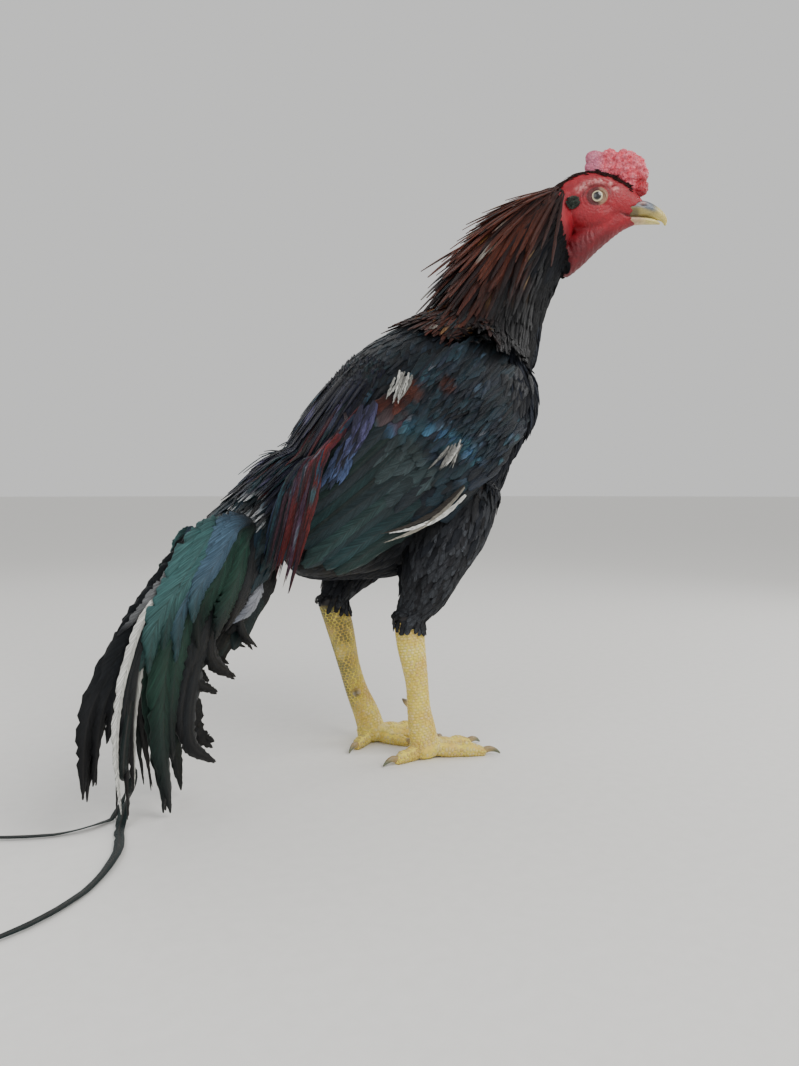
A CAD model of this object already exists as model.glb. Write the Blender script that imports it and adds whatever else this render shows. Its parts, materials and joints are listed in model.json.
"""The dressed lasani aseel rooster: one skin with its coat of solid feathers, comb, eyes, beak, leg
scales and claws, on a pale floor in soft studio light.

Shapes are made in the bird's own frame: metres, the bird faces +X with its left side to +Y and the
floor is Z = 0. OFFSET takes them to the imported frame. The coat is laid feather by feather over a
search tree of the skin, and every feather is a thin closed vane.
"""

import json
import math

import bmesh
import bpy
import numpy as np
from mathutils import Matrix, Vector, noise
from mathutils.bvhtree import BVHTree

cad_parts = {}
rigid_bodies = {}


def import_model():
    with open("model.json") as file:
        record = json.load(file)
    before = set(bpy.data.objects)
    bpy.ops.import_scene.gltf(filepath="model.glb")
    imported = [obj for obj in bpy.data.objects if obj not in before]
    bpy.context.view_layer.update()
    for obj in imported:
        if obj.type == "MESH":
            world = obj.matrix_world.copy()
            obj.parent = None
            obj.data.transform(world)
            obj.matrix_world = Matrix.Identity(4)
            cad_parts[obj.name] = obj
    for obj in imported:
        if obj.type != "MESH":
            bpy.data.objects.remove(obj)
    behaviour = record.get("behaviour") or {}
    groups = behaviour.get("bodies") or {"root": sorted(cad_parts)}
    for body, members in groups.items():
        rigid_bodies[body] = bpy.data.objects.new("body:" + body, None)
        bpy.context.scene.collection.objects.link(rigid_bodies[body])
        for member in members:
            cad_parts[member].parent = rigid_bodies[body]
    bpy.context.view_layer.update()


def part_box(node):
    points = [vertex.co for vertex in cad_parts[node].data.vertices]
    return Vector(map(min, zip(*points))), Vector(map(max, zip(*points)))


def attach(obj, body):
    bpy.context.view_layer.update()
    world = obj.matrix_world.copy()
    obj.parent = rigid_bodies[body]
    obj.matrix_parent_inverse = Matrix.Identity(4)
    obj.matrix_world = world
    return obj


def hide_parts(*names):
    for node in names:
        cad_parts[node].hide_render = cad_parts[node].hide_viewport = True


# Stations of the body: centre x, y, z, radius towards the back, radius towards the belly,
# half width and the turn of the section about Z.
TORSO = (
    (-0.098, 0, 0.190, 0.018, 0.014, 0.018, 0),
    (-0.078, 0, 0.204, 0.058, 0.040, 0.044, 0),
    (-0.044, 0, 0.236, 0.083, 0.083, 0.062, 0),
    (0.000, 0, 0.280, 0.098, 0.102, 0.072, 0),
    (0.038, 0, 0.325, 0.097, 0.103, 0.075, 0),
    (0.072, 0, 0.368, 0.081, 0.077, 0.069, 0),
    (0.098, -0.002, 0.408, 0.056, 0.063, 0.056, 0),
)
NECK = (
    (0.098, -0.002, 0.408, 0.056, 0.063, 0.056, 0),
    (0.116, -0.007, 0.453, 0.044, 0.053, 0.044, -4),
    (0.134, -0.014, 0.496, 0.037, 0.050, 0.037, -12),
    (0.150, -0.021, 0.527, 0.028, 0.045, 0.030, -20),
    (0.165, -0.025, 0.543, 0.022, 0.041, 0.025, -28),
    (0.179, -0.028, 0.550, 0.020, 0.034, 0.019, -30),
)
TAIL_ROOT = (
    (-0.085, 0, 0.262, 0.042, 0.040, 0.044, 0),
    (-0.116, -0.002, 0.240, 0.034, 0.036, 0.042, -6),
    (-0.146, -0.010, 0.216, 0.026, 0.028, 0.034, -18),
    (-0.166, -0.018, 0.198, 0.012, 0.014, 0.022, -28),
)
# The head has its own frame: origin between the eyes, x towards the beak, z up. Its stations
# leave out y and the turn, which are 0 there.
HEAD_ORIGIN = np.array((0.208, -0.0405, 0.5575))
HEAD_TURN = -30
SKULL = (
    (-0.046, -0.008, 0.008, 0.008, 0.006), (-0.037, -0.008, 0.020, 0.021, 0.015),
    (-0.020, -0.008, 0.030, 0.029, 0.0195), (0.002, -0.008, 0.031, 0.029, 0.0200),
    (0.022, -0.010, 0.025, 0.022, 0.0160), (0.037, -0.014, 0.016, 0.015, 0.0115),
    (0.047, -0.017, 0.008, 0.009, 0.0080),
)
THROAT = (
    (0.040, -0.024, 0.006, 0.008, 0.0075), (0.020, -0.028, 0.011, 0.014, 0.0130),
    (-0.003, -0.046, 0.011, 0.020, 0.0160), (-0.018, -0.062, 0.010, 0.020, 0.0150),
    (-0.030, -0.078, 0.005, 0.010, 0.0090),
)
BEAK_TOP = (
    (0.033, -0.0165, 0.0085, 0.0090, 0.0106), (0.041, -0.0150, 0.0082, 0.0098, 0.0098),
    (0.050, -0.0150, 0.0075, 0.0085, 0.0078), (0.061, -0.0195, 0.0056, 0.0065, 0.0050),
    (0.0685, -0.0258, 0.0036, 0.0034, 0.0027), (0.0705, -0.0320, 0.0010, 0.0010, 0.0009),
)
BEAK_LOW = (
    (0.030, -0.0262, 0.0052, 0.0046, 0.0094), (0.046, -0.0268, 0.0044, 0.0034, 0.0070),
    (0.0585, -0.0286, 0.0036, 0.0022, 0.0042), (0.0650, -0.0304, 0.0011, 0.0010, 0.0011),
)
COMB_BASE = ((0.010, 0, 0.026), (0.020, 0.0070, 0.012))
COMB_LUMPS = (                                # x, z, size and half width
    (0.000, 0.037, 0.0100, 0.0048), (0.008, 0.034, 0.0095, 0.0062), (0.015, 0.038, 0.0100, 0.0085),
    (0.028, 0.034, 0.0115, 0.0110), (0.040, 0.028, 0.0105, 0.0105), (0.045, 0.016, 0.0085, 0.0090),
    (0.033, 0.020, 0.0125, 0.0115), (0.022, 0.026, 0.0115, 0.0105), (0.048, 0.022, 0.0060, 0.0060),
    (0.036, 0.037, 0.0065, 0.0070), (-0.003, 0.029, 0.0075, 0.0042), (0.046, 0.006, 0.0080, 0.0085),
    (0.035, 0.008, 0.0090, 0.0085),
)
EYE_RADIUS = 0.0090
EYE_CENTRE = (0.0010, 0.0128, -0.0065)           # the left eye in the head's frame
EAR_CENTRE = (-0.0230, 0.0172, -0.0118)
EAR_FOLD = ((-0.030, -0.002), (-0.0345, -0.014), (-0.0360, -0.030), (-0.033, -0.046), (-0.027, -0.060))

# Legs: the thigh's stations are read downwards, so their first radius is towards the front.
THIGHS = {
    "right": (
        (0.052, -0.040, 0.262, 0.048, 0.050, 0.034, 0),
        (0.044, -0.046, 0.222, 0.037, 0.048, 0.033, 0),
        (0.029, -0.048, 0.186, 0.025, 0.035, 0.029, 0),
        (0.018, -0.045, 0.160, 0.021, 0.026, 0.023, 0),
        (0.008, -0.0405, 0.145, 0.0178, 0.0168, 0.0160, 0),
        (0.005, -0.040, 0.135, 0.0160, 0.0150, 0.0142, 0),
    ),
    "left": (
        (0.030, 0.040, 0.262, 0.046, 0.050, 0.034, 0),
        (0.002, 0.046, 0.224, 0.044, 0.044, 0.033, 0),
        (-0.020, 0.048, 0.188, 0.033, 0.033, 0.028, 0),
        (-0.033, 0.045, 0.170, 0.024, 0.024, 0.022, 0),
        (-0.043, 0.0405, 0.155, 0.0168, 0.0160, 0.0154, 0),
        (-0.0470, 0.040, 0.145, 0.0154, 0.0146, 0.0140, 0),
    ),
}
# The middle of the shank from the hock to the ankle, and the bearing of each toe from +X.
LEGS = {
    "right": {"line": ((0.003, -0.040, 0.142), (0.006, -0.040, 0.112), (0.012, -0.040, 0.076),
                       (0.0145, -0.039, 0.050), (0.0185, -0.0375, 0.029), (0.021, -0.038, 0.014)),
              "inside": 1, "toes": {"inner": 48, "middle": 15, "outer": -17, "hind": 197}},
    "left": {"line": ((-0.0495, 0.040, 0.152), (-0.0395, 0.040, 0.119), (-0.030, 0.040, 0.080),
                      (-0.022, 0.038, 0.052), (-0.013, 0.035, 0.029), (-0.009, 0.031, 0.014)),
             "inside": -1, "toes": {"inner": -50, "middle": -20, "outer": 12, "hind": 225}},
}
SHANK = ((0.0142, 0.0125), (0.0134, 0.0112), (0.0108, 0.0088), (0.0110, 0.0090), (0.0128, 0.0104),
         (0.0134, 0.0118))                    # its half depth and half width at those places
TOE_LENGTHS = {"inner": 0.044, "middle": 0.058, "outer": 0.060, "hind": 0.036}
TOE = ((0.0, 0.0086), (0.2, 0.0074), (0.38, 0.0078), (0.55, 0.0064), (0.7, 0.0069), (0.86, 0.0053),
       (1.0, 0.0037))                         # its radius at shares of its length

# The folded wing lies in a frame of its own: u from the shoulder to the tip, v towards the back.
WING_SHOULDER = np.array((0.099, 0.0, 0.365))
WING_ALONG = np.array((-0.797, 0.0, -0.603))
WING_UP = np.array((-0.603, 0.0, 0.797))

# The folded tail is a stack of upright layers that swings to the bird's right.
TAIL_ORIGIN = np.array((-0.120, -0.002, 0.0))
TAIL_BACK = np.array((-0.87, -0.493, 0.0))
TAIL_OUT = np.array((0.493, -0.87, 0.0))      # towards the right side of the tail
UP = np.array((0, 0, 1))

# The feathers that show on the tail's side: how far out they lie, their greatest width, their kind
# and four places (back, height) along each, below a common heart under the coverts.
TAIL_HEART = (0.030, 0.235)
TAIL_SIDE = (
    (0.031, 0.024, "black", (0.095, 0.226), (0.146, 0.179), (0.199, 0.105), (0.207, 0.036)),
    (0.033, 0.022, "black", (0.101, 0.220), (0.148, 0.167), (0.191, 0.107), (0.199, 0.042)),
    (0.034, 0.020, "black", (0.104, 0.215), (0.145, 0.167), (0.182, 0.115), (0.192, 0.074)),
    (0.036, 0.013, "streak", (0.121, 0.208), (0.144, 0.186), (0.164, 0.168), (0.184, 0.152)),
    (0.0365, 0.020, "edged", (0.134, 0.180), (0.163, 0.142), (0.173, 0.088), (0.168, 0.033)),
    (0.0380, 0.010, "black", (0.146, 0.176), (0.171, 0.136), (0.181, 0.084), (0.175, 0.014)),
    (0.039, 0.0105, "white", (0.152, 0.174), (0.179, 0.130), (0.190, 0.078), (0.185, 0.020)),
    (0.035, 0.030, "green", (0.093, 0.212), (0.140, 0.145), (0.147, 0.073), (0.137, 0.005)),
    (0.036, 0.026, "green", (0.090, 0.207), (0.126, 0.151), (0.139, 0.096), (0.136, 0.046)),
    (0.033, 0.022, "black", (0.083, 0.197), (0.113, 0.123), (0.120, 0.061), (0.093, 0.034)),
    (0.034, 0.018, "black", (0.088, 0.194), (0.116, 0.131), (0.128, 0.079), (0.117, 0.044)),
    (0.035, 0.026, "black", (0.080, 0.202), (0.106, 0.151), (0.117, 0.113), (0.097, 0.093)),
    (0.033, 0.021, "black", (0.071, 0.196), (0.093, 0.157), (0.095, 0.122), (0.068, 0.099)),
    (0.031, 0.012, "black", (0.057, 0.168), (0.065, 0.152), (0.060, 0.136), (0.041, 0.120)),
    (0.035, 0.014, "pale", (0.044, 0.177), (0.050, 0.166), (0.059, 0.155), (0.076, 0.145)),
    (0.041, 0.028, "teal", (0.098, 0.228), (0.129, 0.195), (0.156, 0.157), (0.162, 0.120)),
    (0.040, 0.026, "teal", (0.093, 0.221), (0.126, 0.183), (0.147, 0.149), (0.150, 0.104)),
    (0.042, 0.030, "blue", (0.085, 0.230), (0.110, 0.202), (0.132, 0.168), (0.136, 0.124)),
    (0.042, 0.028, "teal", (0.090, 0.225), (0.119, 0.197), (0.141, 0.169), (0.147, 0.134)),
    (0.043, 0.028, "green", (0.077, 0.221), (0.096, 0.192), (0.112, 0.165), (0.114, 0.130)),
    (0.044, 0.028, "blue", (0.080, 0.228), (0.101, 0.205), (0.119, 0.182), (0.123, 0.155)),
    (0.043, 0.026, "green", (0.067, 0.217), (0.079, 0.190), (0.091, 0.163), (0.100, 0.138)),
    (0.042, 0.024, "black", (0.059, 0.210), (0.067, 0.186), (0.074, 0.165), (0.086, 0.142)),
)
TAIL_TONES = {                                # the colour at the middle and at the tip of each kind
    "black": ((22, 26, 30), (15, 15, 18)), "green": ((28, 58, 48), (17, 24, 25)),
    "teal": ((66, 106, 106), (40, 68, 66)), "blue": ((72, 97, 117), (42, 69, 73)),
    "streak": ((128, 130, 132), (96, 98, 100)), "edged": ((30, 32, 34), (20, 20, 21)),
    "white": ((196, 197, 190), (214, 214, 208)), "pale": ((176, 180, 190), (140, 146, 160)),
}
# The smooth outline of the tail's upper part, over which coverts and saddle are laid: how far back,
# the middle's height, reach upwards, reach downwards and half width.
TAIL_HULL = (
    (-0.030, 0.262, 0.030, 0.060, 0.036), (0.000, 0.246, 0.024, 0.060, 0.039),
    (0.030, 0.226, 0.019, 0.058, 0.040), (0.060, 0.203, 0.018, 0.056, 0.039),
    (0.090, 0.180, 0.022, 0.050, 0.037), (0.116, 0.160, 0.020, 0.042, 0.033),
    (0.148, 0.138, 0.014, 0.036, 0.028),
)
# The sickles: how far right of the tail's middle they leave it and (back, height) inside it, then
# for each the places (x, y) of its free end, its width and how high that end sets out.
SICKLE_OUT = 0.0372
SICKLE_INSIDE = ((0.160, 0.150), (0.176, 0.095), (0.182, 0.050))
SICKLES = {
    "right": (((-0.250, -0.078), (-0.262, -0.104), (-0.266, -0.150), (-0.285, -0.196), (-0.318, -0.232),
               (-0.362, -0.250), (-0.410, -0.252)), 0.0088, 0.030),
    "left": (((-0.252, -0.072), (-0.268, -0.088), (-0.294, -0.100), (-0.330, -0.098),
              (-0.370, -0.082), (-0.410, -0.062)), 0.0062, 0.026),
}
# The red brown band that hangs over the wing's rear end: its front edge and its rear edge
BAND_FRONT = np.array(((-0.052, 0.050, 0.350), (-0.086, 0.080, 0.312), (-0.104, 0.091, 0.254),
                       (-0.127, 0.089, 0.172)))
BAND_REAR = np.array(((-0.066, 0.026, 0.352), (-0.102, 0.060, 0.318), (-0.126, 0.064, 0.262),
                      (-0.149, 0.058, 0.176)))
# The least height (x, z) of the thin line of feathers over the crown, in the head's frame
CROWN_LINE = np.array(((-0.036, 0.006), (-0.024, 0.0165), (-0.010, 0.0215), (0.004, 0.0215),
                       (0.018, 0.0165), (0.030, 0.0085), (0.040, 0.0020)))

# Shares of a feather's greatest width, read at even steps from its root to its tip
BROAD = (0.55, 0.82, 0.96, 1.0, 0.99, 0.93, 0.76, 0.24)
SLENDER = (0.45, 0.80, 1.0, 0.98, 0.86, 0.66, 0.40, 0.06)
LONG = (0.40, 0.72, 0.92, 1.0, 1.0, 0.95, 0.80, 0.14)
TAPER = (0.30, 0.56, 0.80, 0.95, 1.0, 0.98, 0.88, 0.68, 0.36, 0.04)
LANCE = (0.50, 0.86, 1.0, 0.98, 0.84, 0.62, 0.36, 0.05)
MANE = (0.50, 0.80, 0.96, 1.0, 1.0, 0.92, 0.74, 0.24)

SIDES = ((1, "left"), (-1, "right"))
PATCH = 0.003                                 # the width of a piece's own patch of the baked picture
BLOOD = (1.0, 0.25, 0.15)                     # how deep red, green and blue light reach into flesh

# The photo's camera: its focal length and height in pixels, its place and its bearing
FOCAL_PIXELS = 805
PHOTO_HEIGHT = 1066
CAMERA_PLACE = (-0.28965, -0.74239, 0.258)
CAMERA_WAY = (0.3741, 0.9259, -0.0523)


def tone(red, green, blue):
    """A display colour from 0 to 255 as linear values."""
    share = np.array((red, green, blue), float) / 255
    return np.where(share <= 0.04045, share / 12.92, ((share + 0.055) / 1.055) ** 2.4)


JET = tone(17, 18, 21)
SLATE = tone(38, 46, 58)
TEAL = tone(24, 56, 62)
GREEN = tone(25, 48, 40)
VIOLET = tone(84, 82, 124)
STEEL = tone(74, 92, 132)
MAHOGANY = tone(102, 52, 37)
OXBLOOD = tone(84, 20, 18)
CHESTNUT = tone(66, 32, 25)
GOLD = tone(158, 112, 62)
WHITE = tone(222, 222, 216)
PALE = tone(206, 208, 210)
FACE_RED = tone(150, 20, 34)
COMB_PINK = tone(224, 72, 90)
LEG_YELLOW = tone(240, 218, 92)


def unit(rows):
    return rows / np.maximum(np.linalg.norm(rows, axis=-1, keepdims=True), 1e-12)


def ramp(value, low, high):
    """0 at low, 1 at high, with soft ends."""
    share = np.clip((value - low) / (high - low), 0, 1)
    return share * share * (3 - 2 * share)


def mixed(first, second, share):
    share = np.asarray(share)[..., None]
    return first * (1 - share) + second * share


def spot(points, centre, radii):
    """1 at the centre of a soft ellipsoid and 0 outside it."""
    away = np.linalg.norm((points - np.array(centre)) / np.array(radii), axis=-1)
    return 1 - ramp(away, 0.55, 1.0)


def on_head(point, side=1):
    """A point of the head's own frame, in the bird's frame."""
    turn = math.radians(HEAD_TURN)
    x, y, z = point[0], point[1] * side, point[2]
    return HEAD_ORIGIN + np.array((x * math.cos(turn) - y * math.sin(turn),
                                   x * math.sin(turn) + y * math.cos(turn), z))


def in_head(points):
    """Points of the bird's frame, in the head's own frame."""
    turn = math.radians(HEAD_TURN)
    away = points - HEAD_ORIGIN
    return np.stack((away[:, 0] * math.cos(turn) + away[:, 1] * math.sin(turn),
                     away[:, 1] * math.cos(turn) - away[:, 0] * math.sin(turn), away[:, 2]), 1)


def head_way(way, side=1):
    """A direction of the head's own frame, in the bird's frame."""
    return on_head(way, side) - on_head((0, 0, 0), side)


def half_head(points):
    """Forward, out from the middle plane and up, in the head's own frame."""
    forward, out, up = in_head(points).T
    return forward, np.abs(out), up


def picked(mask, *arrays):
    return [rows[mask] for rows in arrays]


class Loft:
    """A skin through stations. A place on it is a station number and an angle: 0 is the left
    side, 90 the back, 180 the right side and 270 the belly; on the tail 270 is the top."""

    def __init__(self, stations):
        self.rows = np.array(stations, float)
        self.last = len(self.rows) - 1

    def read(self, places):
        places = np.clip(places, 0, self.last)
        start = np.minimum(places.astype(int), self.last - 1)
        share = (places - start)[:, None]
        p0, p1, p2, p3 = (self.rows[np.clip(start + k, 0, self.last)] for k in (-1, 0, 1, 2))
        return 0.5 * (2 * p1 + (p2 - p0) * share + (2 * p0 - 5 * p1 + 4 * p2 - p3) * share ** 2
                      + (3 * p1 - p0 - 3 * p2 + p3) * share ** 3)

    def frames(self, places):
        row = self.read(places)
        along = unit((self.read(places + 0.02) - self.read(places - 0.02))[:, :3])
        turn = np.radians(row[:, 6])
        left = np.stack((-np.sin(turn), np.cos(turn), 0 * turn), 1)
        left = unit(left - along * (left * along).sum(1, keepdims=True))
        return row, along, left, np.cross(along, left)

    def points(self, places, angles, grow=0.0):
        row, _, left, up = self.frames(places)
        a = np.radians(angles)
        tall = np.where(np.sin(a) > 0, row[:, 3], row[:, 4])
        return (row[:, :3] + left * (np.cos(a) * (row[:, 5] + grow))[:, None]
                + up * (np.sin(a) * (tall + grow))[:, None])

    def normals(self, places, angles):
        across = self.points(places, angles + 2) - self.points(places, angles - 2)
        low, high = np.maximum(places - 0.03, 0), np.minimum(places + 0.03, self.last)
        return unit(np.cross(across, self.points(high, angles) - self.points(low, angles)))

    def shell(self, rings, sides, grow=0.0):
        """Vertices and faces of the closed surface."""
        places = np.repeat(np.linspace(0, self.last, rings + 1), sides)
        angles = np.tile(np.arange(sides) * 360 / sides, rings + 1)
        faces = []
        for i in range(rings):
            for k in range(sides):
                a, b = i * sides + k, i * sides + (k + 1) % sides
                faces.append((a, b, b + sides, a + sides))
        faces.append(tuple(range(sides))[::-1])
        faces.append(tuple(range(rings * sides, rings * sides + sides)))
        return self.points(places, angles, grow), faces


def head_loft(stations):
    return Loft([(*on_head((x, 0, z)), *radii, HEAD_TURN) for x, z, *radii in stations])


def line_loft(places):
    """A loft that is only read for the smooth line through its places."""
    return Loft([(*place, 0, 0, 0, 0) for place in places])


def ball(centre, radii, turn=0.0, segments=24, rings=16):
    """Vertices and faces of an ellipsoid, turned about Z."""
    bm = bmesh.new()
    bmesh.ops.create_uvsphere(bm, u_segments=segments, v_segments=rings, radius=1.0)
    place = Matrix.Translation(Vector(centre)) @ Matrix.Rotation(math.radians(turn), 4, "Z")
    bmesh.ops.transform(bm, matrix=place @ Matrix.Diagonal((*radii, 1)), verts=bm.verts)
    points = np.array([v.co for v in bm.verts])
    faces = [tuple(v.index for v in f.verts) for f in bm.faces]
    bm.free()
    return points, faces


def torus(centre, axis, radii, tube, segments=48, sides=12):
    """Vertices and faces of a ring round an axis, stretched to two radii."""
    across = unit(np.cross(axis, (0, 0, 1.0)))
    up = np.cross(across, axis)
    points, faces = [], []
    for i in range(segments):
        a = 2 * math.pi * i / segments
        out = across * math.cos(a) + up * math.sin(a)
        middle = centre + across * math.cos(a) * radii[0] + up * math.sin(a) * radii[1]
        for k in range(sides):
            b = 2 * math.pi * k / sides
            points.append(middle + (out * math.cos(b) + axis * math.sin(b)) * tube)
            j, n = (i + 1) % segments, (k + 1) % sides
            faces.append((i * sides + k, j * sides + k, j * sides + n, i * sides + n))
    return np.array(points), faces


def merged(shells):
    """Several shells as one list of vertices and faces."""
    points, faces, start = [], [], 0
    for some, polygons in shells:
        points.append(some)
        faces += [tuple(k + start for k in polygon) for polygon in polygons]
        start += len(some)
    return np.concatenate(points), faces


def mesh_object(name, points, faces, material, flat=False):
    """A linked object of a shape that is given in the bird's frame."""
    mesh = bpy.data.meshes.new(name)
    mesh.from_pydata((np.asarray(points) + OFFSET).tolist(), [], faces)
    mesh.validate()
    mesh.polygons.foreach_set("use_smooth", [not flat] * len(mesh.polygons))
    obj = bpy.data.objects.new(name, mesh)
    bpy.context.scene.collection.objects.link(obj)
    mesh.materials.append(material)
    return obj


def with_modifiers(obj):
    """Replaces the object's mesh by what its modifiers make of it."""
    graph = bpy.context.evaluated_depsgraph_get()
    mesh = bpy.data.meshes.new_from_object(obj.evaluated_get(graph))
    obj.modifiers.clear()
    old = obj.data
    obj.data = mesh
    mesh.name = old.name
    bpy.data.meshes.remove(old)
    mesh.polygons.foreach_set("use_smooth", [True] * len(mesh.polygons))
    return obj


def remeshed(name, shells, voxel, smoothing, material):
    """One closed skin round several shells."""
    obj = mesh_object(name, *merged(shells), material)
    remesh = obj.modifiers.new("remesh", "REMESH")
    remesh.mode = "VOXEL"
    remesh.voxel_size = voxel
    relax = obj.modifiers.new("smooth", "SMOOTH")
    relax.iterations = smoothing
    relax.factor = 0.5
    return with_modifiers(obj)


def coordinates(obj):
    """The object's vertices and normals, in the bird's frame."""
    mesh = obj.data
    points = np.empty(len(mesh.vertices) * 3)
    mesh.vertices.foreach_get("co", points)
    normals = np.empty(len(mesh.vertices) * 3)
    mesh.vertices.foreach_get("normal", normals)
    return points.reshape(-1, 3) - OFFSET, normals.reshape(-1, 3)


def reshape(obj, points):
    obj.data.vertices.foreach_set("co", (points + OFFSET).ravel())
    obj.data.update()


def grain(points, size, kind="cells", seed=0.0):
    """Per point: distance to the nearest seed of a cell pattern, or soft noise, both about 0 to 1."""
    shift = Vector((seed, seed * 0.7, seed * 0.3))
    if kind == "cells":
        return np.array([noise.voronoi(Vector(p) / size + shift)[0][0] for p in points])
    return np.array([0.5 + 0.5 * noise.noise(Vector(p) / size + shift) for p in points])


def paint(obj, colours):
    """Stores a colour per vertex, which the materials read as the tint."""
    layer = obj.data.color_attributes.new("tint", "FLOAT_COLOR", "POINT")
    values = np.ones((len(colours), 4))
    values[:, :3] = np.clip(colours, 0, 1)
    layer.data.foreach_set("color", values.ravel())


def store(obj, name, values):
    layer = obj.data.attributes.new(name, "FLOAT", "POINT")
    layer.data.foreach_set("value", np.asarray(values, float))


def unwrap(obj, name, u, v):
    """A UV map from a place for each vertex."""
    mesh = obj.data
    corners = np.empty(len(mesh.loops), int)
    mesh.loops.foreach_get("vertex_index", corners)
    places = np.stack((u.ravel()[corners], v.ravel()[corners]), 1)
    mesh.uv_layers.new(name=name).data.foreach_set("uv", places.ravel())


def on_patch(patches, shares):
    """Places on the unwrapped skin, for shares of -1 to 1 over each piece's own patch there."""
    return PATCH + patches * (1 - 2 * PATCH) + shares * PATCH / 2


# Materials


class Nodes:
    """A short way to write a material's node tree."""

    def __init__(self, name):
        self.material = bpy.data.materials.new(name)
        self.material.use_nodes = True
        self.tree = self.material.node_tree
        self.shader = self.tree.nodes["Principled BSDF"]

    def add(self, kind, settings=None, **inputs):
        node = self.tree.nodes.new("ShaderNode" + kind)
        for key, value in (settings or {}).items():
            setattr(node, key, value)
        for key, value in inputs.items():
            self.link(value, node.inputs[int(key[1:]) if key[1:].isdigit() else key.replace("_", " ")])
        return node

    def link(self, value, socket):
        if isinstance(value, bpy.types.NodeSocket):
            self.tree.links.new(value, socket)
        elif isinstance(value, bpy.types.Node):
            self.tree.links.new(value.outputs[0], socket)
        else:
            socket.default_value = value

    def set(self, **inputs):
        for key, value in inputs.items():
            self.link(value, self.shader.inputs[key.replace("_", " ")])

    def math(self, operation, first, second=0.0):
        return self.add("Math", {"operation": operation}, i0=first, i1=second).outputs[0]

    def steps(self, value, *stops):
        """A colour ramp of (position, grey or colour)."""
        node = self.add("ValToRGB", i0=value)
        bar = node.color_ramp.elements
        while len(bar) < len(stops):
            bar.new(0.5)
        for element, (position, colour) in zip(bar, stops):
            element.position = position
            grey = isinstance(colour, (int, float))
            element.color = (colour, colour, colour, 1) if grey else (*colour, 1)
        return node.outputs[0]

    def blend(self, kind, share, first, second):
        node = self.add("Mix", {"data_type": "RGBA", "blend_type": kind})
        self.link(share, node.inputs[0])
        self.link(first, node.inputs[6])
        self.link(second, node.inputs[7])
        return node.outputs[2]

    def bump(self, height, distance, strength=1.0, normal=None):
        node = self.add("Bump", Height=height, Distance=distance, Strength=strength)
        if normal is not None:
            self.link(normal, node.inputs["Normal"])
        return node.outputs[0]

    def tinted(self, amount, value, *stops):
        """The painted colour times steps of a value."""
        tint = self.add("Attribute", {"attribute_name": "tint"}).outputs["Color"]
        return self.blend("MULTIPLY", amount, tint, self.steps(value, *stops))

    def value(self, name):
        return self.add("Attribute", {"attribute_name": name}).outputs["Fac"]

    def place(self):
        return self.add("TexCoord").outputs["Object"]

    def cloud(self, place, scale, detail, roughness=0.5):
        return self.add("TexNoise", Vector=place, Scale=scale, Detail=detail, Roughness=roughness).outputs[0]

    def cells(self, feature, place, scale):
        return self.add("TexVoronoi", {"feature": feature}, Vector=place, Scale=scale).outputs[0]


def feather_material(name, roughness, metallic, gloss, barbs=0.75):
    """Feather: the painted colour, drawn out along the barbs, with a fine oblique bump."""
    n = Nodes(name)
    parts = n.add("SeparateXYZ", i0=n.add("UVMap", {"uv_map": "Vane"}))
    across = n.math("ABSOLUTE", n.math("SUBTRACT", parts.outputs[0], 0.5))
    barb = n.math("SUBTRACT", parts.outputs[1], n.math("MULTIPLY", across, 2.0))

    def streaks(wide, long, detail, rough):
        place = n.add("CombineXYZ", i0=n.math("MULTIPLY", across, wide), i1=n.math("MULTIPLY", barb, long),
                      i2=n.value("seed"))
        return n.cloud(place, 1.0, detail, rough)

    lines = n.math("SINE", n.math("MULTIPLY", barb, 2 * math.pi / (barbs / 100)))
    wisp, tuft = streaks(26.0, 190.0, 3.0, 0.6), streaks(9.0, 48.0, 2.0, 0.5)
    colour = n.tinted(0.9, wisp, (0.30, 0.35), (0.70, 1.65))
    colour = n.blend("MULTIPLY", 0.9, colour, n.steps(tuft, (0.32, 0.50), (0.68, 1.40)))
    shaft = n.math("MULTIPLY", n.steps(across, (0.0, 1.0), (0.010, 0.0)), n.value("quill"))
    colour = n.blend("MIX", shaft, colour, (0.035, 0.032, 0.030, 1))
    rough = n.math("MULTIPLY_ADD", n.math("ADD", wisp, tuft), 0.30)
    n.link(roughness - 0.30, rough.node.inputs[2])
    height = n.math("ADD", n.math("MULTIPLY", lines, 0.35), n.math("MULTIPLY", wisp, 1.6))
    height = n.math("ADD", height, n.math("MULTIPLY", tuft, 2.2))
    n.set(Base_Color=colour, Roughness=rough, Metallic=metallic, Normal=n.bump(height, 0.0005, 0.7),
          Specular_IOR_Level=gloss)
    return n.material


def skin_material():
    """Bare skin: blood under thin skin on the face, scaly yellow on the legs, dark under the coat."""
    n = Nodes("skin")
    place = n.place()
    mottle = n.cloud(place, 240.0, 4.0, 0.65)
    height = n.math("ADD", n.math("MULTIPLY", n.cells("F1", place, 900.0), -0.8),
                    n.math("MULTIPLY", n.cloud(place, 1500.0, 3.0), 0.5))
    n.set(Base_Color=n.tinted(0.75, mottle, (0.3, 0.72), (0.7, 1.18)),
          Roughness=n.steps(mottle, (0.25, 0.36), (0.75, 0.56)), Normal=n.bump(height, 0.0006, 0.6),
          Subsurface_Weight=0.12, Subsurface_Scale=0.004, Subsurface_Radius=BLOOD, Specular_IOR_Level=0.45)
    return n.material


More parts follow.
